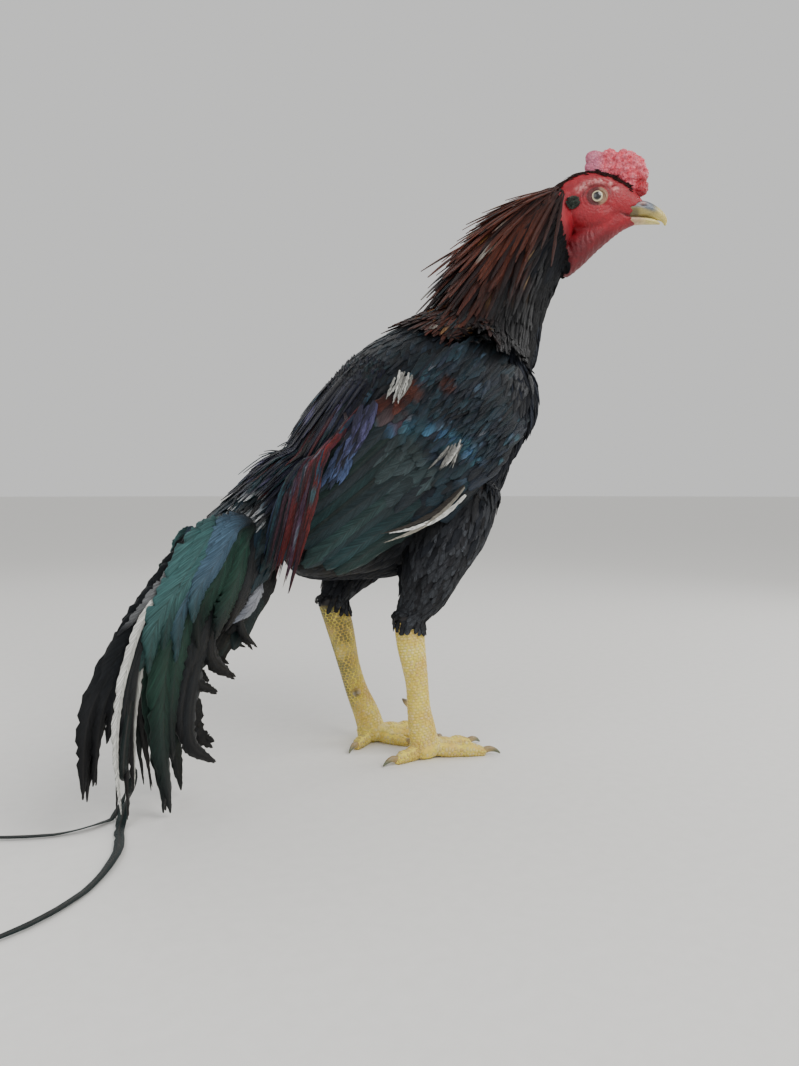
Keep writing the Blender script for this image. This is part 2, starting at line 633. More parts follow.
def comb_material():
    n = Nodes("comb")
    place = n.place()
    beads = n.cells("SMOOTH_F1", place, 620.0)
    mottle = n.cloud(place, 170.0, 5.0, 0.7)
    colour = n.blend("SCREEN", n.steps(mottle, (0.45, 0.0), (0.8, 0.20)),
                     n.tinted(0.85, beads, (0.0, 1.25), (0.75, 0.62)), (0.9, 0.55, 0.62, 1))
    n.set(Base_Color=colour, Roughness=n.steps(mottle, (0.2, 0.34), (0.8, 0.55)),
          Normal=n.bump(n.math("MULTIPLY", beads, -1.0), 0.0011, 0.8),
          Subsurface_Weight=0.18, Subsurface_Scale=0.004, Subsurface_Radius=BLOOD)
    return n.material


def horn_material(name, rough, ridge):
    """Beak and claws: painted horn with fine growth lines."""
    n = Nodes(name)
    place = n.place()
    lines = n.cloud(n.add("Mapping", Vector=place, Scale=(1.0, 1.0, 2.2)), 420.0, 4.0, 0.6)
    stain = n.steps(n.cloud(place, 130.0, 3.0), (0.35, (0.75, 0.66, 0.52)), (0.65, 1.1))
    colour = n.blend("MULTIPLY", 0.5, n.tinted(0.8, lines, (0.3, 0.66), (0.7, 1.2)), stain)
    n.set(Base_Color=colour, Roughness=rough, Normal=n.bump(lines, ridge, 0.7), Coat_Weight=0.15,
          Subsurface_Weight=0.06, Subsurface_Scale=0.002)
    return n.material


def scale_material():
    n = Nodes("leg_scales")
    place = n.place()
    mottle = n.cloud(place, 330.0, 4.0, 0.7)
    dirt = n.steps(n.cloud(place, 75.0, 4.0, 0.6), (0.34, (0.80, 0.68, 0.50)), (0.60, 1.0))
    colour = n.blend("MULTIPLY", 0.7, n.tinted(0.8, mottle, (0.3, 0.72), (0.7, 1.16)), dirt)
    n.set(Base_Color=colour, Roughness=n.steps(mottle, (0.2, 0.42), (0.8, 0.62)),
          Normal=n.bump(mottle, 0.0005, 0.5), Subsurface_Weight=0.06, Subsurface_Scale=0.002)
    return n.material


def eye_material():
    """Glossy ball; the painted colour carries the iris and pupil, noise its fine rays."""
    n = Nodes("eye")
    colour = n.tinted(0.7, n.cloud(n.place(), 1500.0, 3.0, 0.7), (0.3, 0.74), (0.7, 1.12))
    n.set(Base_Color=colour, Roughness=0.25, Coat_Weight=1.0, Coat_Roughness=0.03, IOR=1.38)
    return n.material


# Feathers


def lay(tree, roots, normals, flows, lengths, steps, base, rise, stand=0.0, droop=0.0, slack=0.0):
    """Centres and normals of feathers that run from their roots over the tree's surface.

    base is the least height of the root over the surface and rise what its tip adds to that. A
    feather sets out so that its tip would stand over its root's plane, and it keeps its way as
    long as it is no more than slack above its least height. One with a slack of 1 is free: it
    sets out along its flow, whatever lies under it.
    """
    count = len(roots)
    rise, stand, droop, slack = (np.broadcast_to(value, count) for value in (rise, stand, droop, slack))
    centres = np.empty((count, steps, 3))
    faces = np.empty((count, steps, 3))
    shares = np.linspace(0, 1, steps)
    for i in range(count):
        normal = Vector(normals[i])
        point = Vector(roots[i]) + normal * base
        flow = Vector(flows[i])
        free = slack[i] > 0.5
        way = (flow if free else flow - normal * flow.dot(normal)).normalized()
        way = (way + normal * float(stand[i]) / float(lengths[i])).normalized()
        step = float(lengths[i]) / (steps - 1)
        centres[i, 0] = point
        faces[i, 0] = normal
        for k in range(1, steps):
            target = point + way * step
            near, facing, _, _ = tree.find_nearest(target)
            want = base + rise[i] * shares[k]
            height = (target - near).dot(facing)
            target = target + facing * (min(max(height, want), want + slack[i] * shares[k]) - height)
            way = (target - point).normalized()
            along = flow - facing * flow.dot(facing)
            if not free:
                way = (way + along.normalized() * 0.30).normalized()
            way = (way + Vector((0, 0, -1)) * float(droop[i]) * step * 30).normalized()
            point = target
            centres[i, k] = target
            normal = (normal + facing).normalized()
            normal = (normal - way * normal.dot(way)).normalized()
            faces[i, k] = normal
    return centres, faces


def build_feathers(name, centres, normals, widths, profile, colours, patches, material, columns=5,
                   camber=0.10, ragged=0.06, split=0.0, tilt=0.08, thick=0.0005, quill=0.0, seed=1):
    """One object of many closed vanes.

    centres and normals hold a row of places for each feather, colours a colour for each place of
    each feather, or for each place and column, and patches its place on the unwrapped skin.
    """
    rng = np.random.default_rng(seed)
    count, steps = centres.shape[:2]
    shares = np.linspace(0, 1, steps)
    shape = np.interp(shares, np.linspace(0, 1, len(profile)), profile)
    along = unit(np.gradient(centres, axis=1))
    side = unit(np.cross(along, normals))
    up = np.cross(side, along)
    lean = rng.normal(0, tilt, (count, 1, 1))
    side, up = side * np.cos(lean) + up * np.sin(lean), up * np.cos(lean) - side * np.sin(lean)
    x = np.linspace(-1, 1, columns)
    edge = 1 - ragged * rng.random((count, steps, columns)) * np.abs(x) ** 2
    if split:
        torn = rng.random((count, steps, 2)) < split
        torn[:, :2] = False
        edge[..., 0] = np.where(torn[..., 0], edge[..., 0] * 0.62, edge[..., 0])
        edge[..., -1] = np.where(torn[..., 1], edge[..., -1] * 0.62, edge[..., -1])
    half = (widths[:, None] * shape)[..., None] / 2
    reach = x * half * edge
    height = camber * half * (1 - x ** 2) * 2
    slip = np.abs(x) * half * 0.55                    # the barbs sweep towards the tip
    slip[:, -1] *= 0.15
    top = (centres[:, :, None] + side[:, :, None] * reach[..., None]
           + up[:, :, None] * height[..., None] + along[:, :, None] * slip[..., None])
    floor = top[:, :, (0, -1)] - up[:, :, None] * thick
    per = steps * (columns + 2)
    points = np.concatenate((top.reshape(count, -1, 3), floor.reshape(count, -1, 3)), 1)
    quads = []
    low = steps * columns
    for i in range(steps - 1):
        left, right = i * columns, (i + 1) * columns - 1
        a, b = low + 2 * i, low + 2 * i + 1
        quads += [(k, k + 1, k + columns + 1, k + columns) for k in range(left, right)]
        quads += [(b, a, a + 2, b + 2), (a, left, left + columns, a + 2), (right, b, b + 2, right + columns)]
    faces = (np.array(quads)[None] + (np.arange(count) * per)[:, None, None]).reshape(-1, 4)
    obj = mesh_object(name, points.reshape(-1, 3), faces.tolist(), material)
    if colours.ndim == 3:
        colours = np.repeat(colours[:, :, None], columns, 2)
    under = colours[:, :, (0, -1)] * 0.7
    tints = np.concatenate((colours.reshape(count, -1, 3), under.reshape(count, -1, 3)), 1)
    paint(obj, tints.reshape(-1, 3))
    store(obj, "seed", np.repeat(rng.uniform(0, 90, count), per))
    store(obj, "quill", np.repeat(np.broadcast_to(quill, count), per))

    def spread(values):
        """Values for every vertex, from those of the places and columns of the vanes."""
        values = np.broadcast_to(values, reach.shape)
        return np.concatenate((values.reshape(count, -1), values[..., (0, -1)].reshape(count, -1)), 1)

    # Across and along each feather in tenths of a metre, and its patch on the unwrapped skin
    run = np.linalg.norm(np.diff(centres, axis=1), axis=2)
    run = np.cumsum(np.concatenate((np.zeros((count, 1)), run), 1), 1)
    unwrap(obj, "OFBake", on_patch(patches[:, :1], spread(x)),
           on_patch(patches[:, 1:], spread(2 * shares[:, None] - 1)))
    unwrap(obj, "Vane", spread(reach) * 10 + 0.5, spread(run[..., None]) * 10)
    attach(obj, "root")
    return obj


def speckle(rng, count, low=0.8, high=1.2):
    return rng.uniform(low, high, (count, 1, 1))


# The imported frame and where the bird's own frame lies in it

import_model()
eye_box = np.array([list(corner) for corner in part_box("eye_right")])
OFFSET = (eye_box.mean(axis=0) - on_head(EYE_CENTRE, -1)) * (1, 1, 0)

MATERIALS = {
    "skin": skin_material(), "comb": comb_material(), "scales": scale_material(), "eye": eye_material(),
    "beak": horn_material("beak", 0.38, 0.0004), "claw": horn_material("claw", 0.42, 0.0005),
    "body": feather_material("body_feather", 0.46, 0.10, 0.30),
    "down": feather_material("soft_feather", 0.70, 0.0, 0.12, 0.9),
    "hackle": feather_material("hackle_feather", 0.46, 0.10, 0.26),
    "saddle": feather_material("saddle_feather", 0.42, 0.18, 0.30),
    "wing": feather_material("wing_feather", 0.40, 0.22, 0.34),
    "tail": feather_material("tail_feather", 0.38, 0.26, 0.34),
}


# Skin


def toe_loft(pad, toe, bearing):
    length = TOE_LENGTHS[toe]
    way = np.array((math.cos(math.radians(bearing)), math.sin(math.radians(bearing)), 0))
    rows = []
    for share, radius in TOE:
        r = radius * (0.88 if toe in ("inner", "hind") else 1.0)
        place = pad + way * (0.004 + (length - 0.004) * share)
        lift = 0.004 * max(0.0, 1 - share / 0.3)
        rows.append((place[0], place[1], r - 0.0005 + lift, r, r, r, bearing))
    return Loft(rows), pad + way * (length - 0.002), way


def leg_parts(word):
    leg = LEGS[word]
    shank = Loft([(*place, deep, deep, wide, 0) for place, (deep, wide) in zip(leg["line"], SHANK)])
    pad = np.array((leg["line"][-1][0], leg["line"][-1][1], 0.0095))
    toes = {toe: toe_loft(pad, toe, bearing) for toe, bearing in leg["toes"].items()}
    return shank, pad, toes


def wing_points(side, u, v, level):
    """Places on the folded wing; level is the height over the wing's shell."""
    reach_out = np.where(u < 0.12, 0.165, 0.28)
    inside = np.maximum(0, 1 - ((u - 0.12) / reach_out) ** 2 - (v / 0.118) ** 2)
    out = 0.032 + 0.047 * np.sqrt(inside) + level
    return (WING_SHOULDER + WING_ALONG * u[..., None] + WING_UP * v[..., None]
            + np.array((0, side, 0)) * out[..., None])


def wing_arm(side):
    rows = []
    for u, v, half, deep in ((-0.024, -0.006, 0.018, 0.008), (0.005, -0.012, 0.040, 0.012),
                             (0.045, -0.008, 0.056, 0.013), (0.090, -0.004, 0.062, 0.013),
                             (0.135, 0.002, 0.056, 0.012), (0.165, 0.006, 0.036, 0.008)):
        centre = wing_points(side, np.array(u), np.array(v), np.array(-0.0085))
        rows.append((*centre, half, half, deep, 0))
    return Loft(rows)


def rear_edge(z):
    """How far back the bare face reaches, in the head's frame."""
    return np.interp(-z, (0.010, 0.034, 0.050, 0.058, 0.076, 0.086),
                     (-0.0345, -0.0338, -0.0290, -0.0265, -0.0265, -0.0300))


def settled(points, edges, share, rounds):
    """The points drawn towards their neighbours' mean, each by its share."""
    ones = np.bincount(edges.ravel(), minlength=len(points))
    for _ in range(rounds):
        mean = np.stack([np.bincount(edges[:, 0], points[edges[:, 1], k], len(points))
                         + np.bincount(edges[:, 1], points[edges[:, 0], k], len(points))
                         for k in range(3)], 1)
        points = points + (mean / ones[:, None] - points) * (0.5 * share)[:, None]
    return points


def face_distances(x, z):
    """How far places are from the eye, from the brow's arc (1 on it) and from the mouth's line."""
    ex, ez = x - EYE_CENTRE[0], z - EYE_CENTRE[2]
    return (np.hypot(ex / 1.15, ez), np.hypot((ex - 0.001) / 0.0205, ez / 0.0155),
            np.hypot((x - 0.033) / 7.0, z + 0.0235 + (x - 0.033) * 0.25))


def shape_head(points, normals):
    """Folds, wrinkles and pimples of the bare face, as moves along the normals."""
    x, y, z = half_head(points)
    side = ramp(y, 0.004, 0.012)
    away = np.full(len(points), 1.0)
    for (ax, az), (bx, bz) in zip(EAR_FOLD, EAR_FOLD[1:]):
        t = np.clip(((x - ax) * (bx - ax) + (z - az) * (bz - az)) / ((bx - ax) ** 2 + (bz - az) ** 2), 0, 1)
        away = np.minimum(away, np.hypot(x - ax - t * (bx - ax), z - az - t * (bz - az)))
    push = side * 0.0012 * np.exp(-(away / 0.0026) ** 2)
    push -= side * 0.0005 * np.exp(-((away - 0.0050) / 0.0022) ** 2) * (x > -0.034)
    r, brow, mouth = face_distances(x, z)
    push -= 0.0016 * np.exp(-(mouth / 0.0011) ** 2) * ramp(x, 0.016, 0.026)
    coarse, fine = grain(points, 0.0042), grain(points, 0.0021, seed=5.0)
    ring = np.cos(2 * np.pi * (r + 0.0012 * coarse) / 0.0030)
    near = ramp(r, 0.0095, 0.0115) * (1 - ramp(r, 0.014, 0.020))
    push += side * 0.00034 * ring * np.clip(coarse - 0.1, 0, 1) * near
    arc = np.exp(-((brow - 1) / 0.16) ** 2) * ramp(z, EYE_CENTRE[2] + 0.002, EYE_CENTRE[2] + 0.008)
    push += (0.45 - coarse) * (0.0004 + 0.0016 * arc) + (0.4 - fine) * (0.00030 + 0.0012 * arc)
    below = ramp(-z, 0.026, 0.045)
    uneven = grain(points, 0.012, "soft", 6.0)
    push += below * 0.00060 * (uneven - 0.2) * np.sin(x * 2 * np.pi / 0.0052 + 9 * uneven)
    push *= 1 - ramp(0.0078 - r, 0.0, 0.001) * side
    brim = 0.0140 - 0.0050 * ramp(x, 0.0385, 0.0440)
    start = 0.0350 + 0.0012 * np.sin(z * 900)
    push -= (0.0036 * ramp(x - start, 0.0, 0.0030) * ramp(-z - brim, 0.0, 0.0025)
             * (1 - ramp(-z, 0.0255, 0.0280)))
    return points + normals * push[:, None]


def skin_colours(points, coarse, legs):
    """The colours of face, legs and of the dark skin under the coat."""
    x, y, z = half_head(points)
    bare = ramp(x - rear_edge(z), -0.004, -0.002) * ramp(z, -0.100, -0.090)
    soft = grain(points, 0.011, "soft", 3.0)
    low = np.clip(ramp(-z, 0.020, 0.058) * 1.1 + (soft - 0.5) * 0.8, 0, 1)
    face = mixed(FACE_RED, tone(98, 4, 18), low)
    face = mixed(face, tone(156, 40, 42), np.clip(0.60 - coarse, 0, 1) * 0.40 * (1 - low))
    ex, ez = x - EYE_CENTRE[0], z - EYE_CENTRE[2]
    r, brow, mouth = face_distances(x, z)
    beside = ramp(y, 0.008, 0.014)
    groove = np.exp(-((r - 0.0115) / 0.0016) ** 2) * ramp(ez, -0.002, 0.004)
    face = mixed(face, tone(84, 8, 14), groove * beside * 0.6)
    lid = (1 - ramp(r, 0.0084, 0.0100)) * beside
    face = mixed(face, mixed(tone(84, 14, 18), tone(146, 112, 88), ramp(ex, 0.000, 0.005)), lid)
    arc = np.exp(-((brow - 1) / 0.20) ** 2) * ramp(ez, 0.002, 0.008)
    face = mixed(face, tone(226, 158, 156), arc * np.clip(1.15 - coarse * 1.5, 0, 1))
    face = mixed(face, tone(70, 18, 22), np.exp(-(mouth / 0.0012) ** 2) * ramp(x, 0.016, 0.026) * 0.9)
    stain = np.clip(grain(points, 0.016, "soft", 9.0) * 1.4 - 0.5, 0, 1)
    yellow = mixed(LEG_YELLOW, tone(206, 158, 84), stain)
    return mixed(mixed(tone(30, 27, 29), face, bare), yellow * 0.94, legs)


def add_skin():
    head = [head_loft(SKULL).shell(30, 44), head_loft(THROAT).shell(22, 30)]
    for side, _ in SIDES:
        outward = head_way((0, 1, 0), side)
        rim = on_head(EYE_CENTRE, side) + outward * 0.0052 + head_way((0.0014, 0, -0.0004))
        head += [
            torus(rim, outward, (0.0086, 0.0076), 0.0020),
            ball(on_head((0.004, 0.0150, 0.0060), side), (0.018, 0.0056, 0.0046), HEAD_TURN - 8 * side),
            ball(on_head((-0.004, 0.0125, -0.022), side), (0.022, 0.009, 0.013), HEAD_TURN),
        ]
    skin = remeshed("skin", head, 0.00065, 6, MATERIALS["skin"])
    # Cheek, jaw and throat run into each other without a groove
    points, _ = coordinates(skin)
    edges = np.empty(2 * len(skin.data.edges), dtype=np.int32)
    skin.data.edges.foreach_get("vertices", edges)
    x, _, z = half_head(points)
    from_eye = np.hypot(x - EYE_CENTRE[0], z - EYE_CENTRE[2])
    share = ramp(-z, 0.012, 0.022) * (1 - ramp(-z, 0.088, 0.100)) * ramp(from_eye, 0.011, 0.015)
    reshape(skin, settled(points, edges.reshape(-1, 2), share * (1 - ramp(x, 0.024, 0.034)), 90))
    points, normals = coordinates(skin)
    reshape(skin, shape_head(points, normals))
    body = [Loft(TORSO).shell(30, 48, -0.004), Loft(NECK).shell(24, 32, -0.004),
            Loft(TAIL_ROOT).shell(16, 28, -0.003)]
    body += [Loft(THIGHS[word]).shell(24, 28, -0.0028) for word in LEGS]
    body += [wing_arm(side).shell(16, 24, -0.002) for side, _ in SIDES]
    others = [remeshed("body_skin", body, 0.0032, 8, MATERIALS["skin"])]
    for word in LEGS:
        shank, pad, toes = leg_parts(word)
        leg = [shank.shell(30, 30), ball(pad, (0.0148, 0.0140, 0.0110))]
        leg += [loft.shell(26, 22) for loft, _, _ in toes.values()]
        others.append(remeshed("leg_skin", leg, 0.0011, 5, MATERIALS["skin"]))
    for other in others:
        boolean = skin.modifiers.new("join", "BOOLEAN")
        boolean.operation = "UNION"
        boolean.solver = "MANIFOLD"
        boolean.object = other
    with_modifiers(skin)
    for other in others:
        bpy.data.objects.remove(other)
    skin.data.materials.clear()
    skin.data.materials.append(MATERIALS["skin"])
    points, _ = coordinates(skin)
    points[:, 2] = np.maximum(points[:, 2], 0.0003)
    reshape(skin, points)
    legs = 1 - ramp(points[:, 2] - 0.011 * (points[:, 1] > 0), 0.124, 0.133)
    near_head = np.linalg.norm(points - HEAD_ORIGIN, axis=1) < 0.13
    coarse = np.full(len(points), 0.5)
    coarse[near_head] = grain(points[near_head], 0.0042)
    paint(skin, skin_colours(points, coarse, legs))
    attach(skin, "root")
    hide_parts("torso", "head", "thigh_left", "thigh_right", "shank_left", "shank_right",
                "foot_left", "foot_right")
    return skin


def tree_from(*objects, shells=()):
    """A search tree in the bird's frame."""
    shells = list(shells)
    for obj in objects:
        shells.append((coordinates(obj)[0], [tuple(p.vertices) for p in obj.data.polygons]))
    points, faces = merged(shells)
    return BVHTree.FromPolygons(points.tolist(), faces)


# Head


def add_eyes():
    for side, word in SIDES:
        centre = on_head(EYE_CENTRE, side)
        outward = head_way((0, 1, 0), side)
        points, faces = ball(centre, (EYE_RADIUS,) * 3, HEAD_TURN, 64, 48)
        obj = mesh_object("eyeball_" + word, points, faces, MATERIALS["eye"])
        away = (points - centre) @ outward
        r = np.where(away > 0, np.linalg.norm(points - centre - away[:, None] * outward, axis=1), 1.0)
        colour = mixed(tone(10, 10, 14), tone(96, 90, 70), ramp(r, 0.0036, 0.0039))
        colour = mixed(colour, tone(226, 214, 176), ramp(r, 0.0040, 0.0044))
        colour = mixed(colour, tone(190, 160, 110), ramp(r, 0.0047, 0.0053) * 0.5)
        colour = mixed(colour, tone(44, 24, 22), ramp(r, 0.0053, 0.0056))
        ahead = in_head(points)[:, 0] - EYE_CENTRE[0]
        around = mixed(tone(96, 26, 28), tone(160, 128, 104), ramp(ahead, 0.000, 0.0035))
        paint(obj, mixed(colour, around, ramp(r, 0.0057, 0.0062)))
        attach(obj, "root")
        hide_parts("eye_" + word)
        place = centre + outward * 0.0066 + head_way((0.0016, 0, -0.0003), side)
        rim, rim_faces = torus(place, outward, (0.0072, 0.0062), 0.0009, 72, 14)
        lids = mesh_object("eyelid_" + word, rim, rim_faces, MATERIALS["skin"])
        ahead = ramp(in_head(rim)[:, 0], 0.001, 0.006)
        paint(lids, mixed(tone(70, 14, 16), tone(150, 118, 94), ahead))
        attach(lids, "root")


def add_comb():
    rng = np.random.default_rng(3)
    shells = [ball(on_head(COMB_BASE[0]), COMB_BASE[1], HEAD_TURN)]
    for x, z, size, wide in COMB_LUMPS:
        shells.append(ball(on_head((x, rng.uniform(-0.001, 0.001), z)),
                           (size, wide, size * rng.uniform(0.85, 1.0)), HEAD_TURN + rng.uniform(-20, 20)))
    comb = remeshed("comb_flesh", shells, 0.00060, 5, MATERIALS["comb"])
    points, normals = coordinates(comb)
    x, _, z = half_head(points)
    lumps, beads = grain(points, 0.0062), grain(points, 0.0031, seed=4.0)
    blade = 1 - ramp(x, 0.000, 0.012)
    push = (0.45 - lumps) * 0.0030 + (0.42 - beads) * 0.0014
    reshape(comb, points + normals * (push * (1 - 0.75 * blade))[:, None])
    colour = mixed(COMB_PINK, tone(238, 146, 162), np.clip(0.72 - lumps, 0, 1) * 0.9)
    colour = mixed(colour, tone(176, 40, 62), np.clip(beads * 1.3 - 0.45, 0, 1))
    colour = mixed(colour, tone(170, 96, 126), blade * 0.7)
    low_front = ramp(x, 0.030, 0.046) * (1 - ramp(z, 0.010, 0.026))
    paint(comb, mixed(colour, tone(172, 26, 42), low_front))
    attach(comb, "root")
    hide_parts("comb")
    return comb


def add_beak():
    for name, stations, grow in (("beak_upper", BEAK_TOP, 0.0), ("beak_lower", BEAK_LOW, -0.0003)):
        points, faces = head_loft(stations).shell(60, 48, grow)
        obj = mesh_object(name + "_horn", points, faces, MATERIALS["beak"])
        x, y, z = half_head(points)
        if name == "beak_upper":
            hole = np.hypot((x - 0.0476) / 0.0030, (z + 0.0136) / 0.0010)
            flap = np.hypot((x - 0.0466) / 0.0040, (z + 0.0114) / 0.0018)
            _, normals = coordinates(obj)
            push = 0.0007 * np.exp(-flap ** 2) - 0.0016 * np.exp(-hole ** 2)
            points = points + normals * (push * ramp(y, 0.003, 0.006))[:, None]
            reshape(obj, points)
            drop = -z - 0.0105 - 0.30 * np.maximum(0, x - 0.045)
            colour = mixed(tone(88, 98, 112), tone(170, 154, 92), ramp(drop, 0.0030, 0.0075))
            dirt = (1 - ramp(x, 0.040, 0.048)) * ramp(drop, 0.004, 0.008) * 0.8
            colour = mixed(colour, tone(70, 56, 34), dirt)
            colour = mixed(colour, tone(206, 190, 112), ramp(x, 0.056, 0.066))
            colour = mixed(colour, tone(196, 150, 140), np.exp(-flap ** 2) * 0.7)
            colour = mixed(colour, tone(30, 22, 20), np.exp(-hole ** 2) * ramp(y, 0.003, 0.006))
        else:
            colour = mixed(tone(190, 160, 128), tone(206, 192, 118), ramp(x, 0.040, 0.056))
            colour = mixed(colour, tone(60, 40, 26), ramp(z, -0.0262, -0.0244) * 0.8)
        paint(obj, colour)
        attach(obj, "root")
        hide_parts(name)


# Legs


def plates(name, tree, roots, flows, lengths, widths, colours, patches, height=0.00058, sides=8):
    """Small domed scales over the skin, each with a sunk rim."""
    turns = np.linspace(0, 2 * np.pi, sides + 1)[:-1]
    ring = [(math.cos(turn), math.sin(turn)) for turn in turns]
    points, faces, tints = [], [], []
    for root, flow, length, width, colour in zip(roots, flows, lengths, widths, colours):
        start = len(points)
        near, normal, _, _ = tree.find_nearest(Vector(root))
        along = Vector(flow)
        along = (along - normal * along.dot(normal)).normalized()
        across = along.cross(normal)
        points.append(near + normal * height)
        tints.append(colour)
        for scale, lift, shade in ((0.70, height * 0.86, 1.0), (1.0, -0.00035, 0.45)):
            for c, s in ring:
                bulge = 1 / max(abs(c), abs(s)) ** 0.45
                offset = along * (c * scale * bulge * length / 2) + across * (s * scale * bulge * width / 2)
                below, facing, _, _ = tree.find_nearest(near + offset)
                tip = height * 0.45 * max(c, 0) * (scale < 1)
                points.append(below + facing * (lift + tip))
                tints.append(colour * shade)
        for k in range(1, sides + 1):
            n = k % sides + 1
            faces.append((start, start + k, start + n))
            faces.append((start + k, start + sides + k, start + sides + n, start + n))
    obj = mesh_object(name, np.array(points), faces, MATERIALS["scales"])
    paint(obj, np.array(tints))
    own = np.array([(0, 0), *(np.array(ring) * 0.7), *ring])
    places = on_patch(patches[:, None], own[None]).reshape(-1, 2)
    unwrap(obj, "OFBake", places[:, 0], places[:, 1])
    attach(obj, "root")


def add_leg_scales(tree, word):
    rng = np.random.default_rng(17 if word == "left" else 18)
    shank, _, toes = leg_parts(word)
    roots, flows, lengths, widths, patches = [], [], [], [], []
    lofts = [(shank, 0.35, 0.0028, 0.0)]
    lofts += [(toe[0], 0.25, 0.0030, 0.2 * k) for k, toe in enumerate(toes.values(), 1)]
    for number, (loft, first, pitch, part) in enumerate(lofts):
        fine = np.linspace(first, loft.last, 300)
        gaps = np.linalg.norm(np.diff(loft.read(fine)[:, :3], axis=0), axis=1)
        run = np.concatenate(([0], np.cumsum(gaps)))
        for row, place in enumerate(np.interp(np.arange(0, run[-1], pitch), run, fine)):
            at = np.array([place])
            station, along, _, _ = loft.frames(at)
            girth = 2 * math.pi * (station[0, 3] + station[0, 5]) / 2
            if number:
                spots = [(90, 1.5 * station[0, 5])]
                spots += [(angle + 12 * (row % 2), girth / 9) for angle in (18, -22, -62, 162, 202, 242)]
            else:
                count = int(round(girth / 0.0042))
                spots = [((k + 0.5 * (row % 2)) * 360 / count, girth / count) for k in range(count)]
            for angle, width in spots:
                at_angle = np.array([angle + rng.normal(0, 2)])
                roots.append(loft.points(at, at_angle)[0])
                flows.append(along[0])
                lengths.append(pitch * rng.uniform(1.0, 1.16))
                widths.append(width * rng.uniform(0.90, 1.02))
                patches.append((part + 0.19 * place / loft.last, (angle % 360) / 360))
    roots = np.array(roots)
    dirt = grain(roots, 0.020, "soft", 2.0)
    colour = mixed(LEG_YELLOW, tone(238, 220, 160), rng.random(len(roots)) * 0.8)
    colour = mixed(colour, tone(196, 142, 70), np.clip(dirt * 1.8 - 0.8, 0, 1) * 0.7)
    back = ramp(-(roots[:, 0] - roots[:, 0].mean()), 0.0, 0.02) * (word == "left")
    colour = mixed(colour, tone(88, 92, 66), np.clip(back * grain(roots, 0.012, "soft", 8.0) * 1.2, 0, 0.8))
    colour = mixed(colour, tone(150, 138, 84), np.clip(0.022 - roots[:, 2], 0, 0.02) * 18)
    plates("leg_scales_" + word, tree, roots, flows, lengths, widths, colour,
           np.clip(np.array(patches), 0, 1))


def add_claws(word):
    for toe, (_, end, way) in leg_parts(word)[2].items():
        rows = []
        for out, z, radius in ((0.0, 0.0048, 0.0034), (0.006, 0.0062, 0.0030),
                               (0.012, 0.0048, 0.0020), (0.0165, 0.0017, 0.0007)):
            rows.append((*(end + way * out)[:2], z, radius, radius, radius * 0.85, LEGS[word]["toes"][toe]))
        points, faces = Loft(rows).shell(24, 20)
        points[:, 2] = np.maximum(points[:, 2], 0.0004)
        obj = mesh_object("horn_%s_%s" % (word, toe), points, faces, MATERIALS["claw"])
        out = (points - end) @ way
        colour = mixed(tone(176, 150, 96), tone(94, 100, 76), ramp(out, 0.002, 0.012))
        paint(obj, mixed(colour, tone(150, 130, 90), ramp(points[:, 2], 0.004, 0.009)))
        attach(obj, "root")
        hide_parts("claw_%s_%s" % (word, toe))
    root = np.array(LEGS[word]["line"][3])
    rows = []
    for out, rise, radius in ((0.005, 0.0, 0.0050), (0.012, 0.0003, 0.0042), (0.018, 0.0014, 0.0028),
                              (0.023, 0.0034, 0.0009)):
        place = root + np.array((-0.35, 0.94 * LEGS[word]["inside"], 0)) * out + np.array((0, 0, rise))
        rows.append((*place, radius, radius, radius, 0))
    points, faces = Loft(rows).shell(24, 24)
    obj = mesh_object("spur_horn_" + word, points, faces, MATERIALS["claw"])
    share = np.linalg.norm(points - root, axis=1)
    paint(obj, mixed(tone(196, 170, 108), tone(120, 108, 78), ramp(share, 0.010, 0.022)))
    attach(obj, "root")
    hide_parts("spur_" + word)


# The coat


def roots_on(loft, pitch, spacing, rng, start=0.0, end=None, middle=90.0, spread=180.0):
    """Jittered places and angles of feather roots in staggered rows."""
    fine = np.linspace(start, loft.last if end is None else end, 240)
    steps = np.linalg.norm(np.diff(loft.read(fine)[:, :3], axis=0), axis=1)
    run = np.concatenate(([0], np.cumsum(steps)))
    rows = np.interp(np.arange(pitch / 2, run[-1], pitch), run, fine)
    places, angles = [], []
    for number, place in enumerate(rows):
        station = loft.read(np.array([place]))[0]
        tall = (station[3] + station[4]) / 2
        girth = 2 * math.pi * math.sqrt((station[5] ** 2 + tall ** 2) / 2) * spread / 180
        count = max(3, int(round(girth / spacing)))
        turn = (np.arange(count) + 0.5 * (number % 2) + rng.normal(0, 0.16, count)) / count * 2 - 1
        angles.append(middle + spread * turn)
        places.append(place + rng.normal(0, 0.12, count) * (rows[-1] - rows[0]) / len(rows))
    return np.clip(np.concatenate(places), 0, loft.last), np.concatenate(angles)


def patches_of(loft, places, angles):
    return np.stack((places / loft.last, (angles % 360) / 360), 1)


def shaded(base, tip, steps, start=0.5):
    """A colour for each place of each feather, from its own base colour to its own tip colour."""
    share = ramp(np.linspace(0, 1, steps), start, 1.0)[None, :, None]
    return base[:, None] * (1 - share) + tip[:, None] * share


def bends(centres):
    """The cosine of each feather's sharpest bend."""
    ways = unit(np.diff(centres, axis=1))
    return (ways[:, 1:] * ways[:, :-1]).sum(-1).min(1)


def glinting(colours, rng, share, tones, low=0.45):
    """The colours with a short bright stretch on some of the feathers."""
    count, steps = colours.shape[:2]
    for k in np.flatnonzero(rng.random(count) < share):
        place = rng.integers(int(low * steps), steps - 1)
        bright = np.array(tones[rng.integers(len(tones))])
        colours[k, place:place + 2] = mixed(colours[k, place:place + 2], bright, rng.uniform(0.4, 0.9))
    return colours


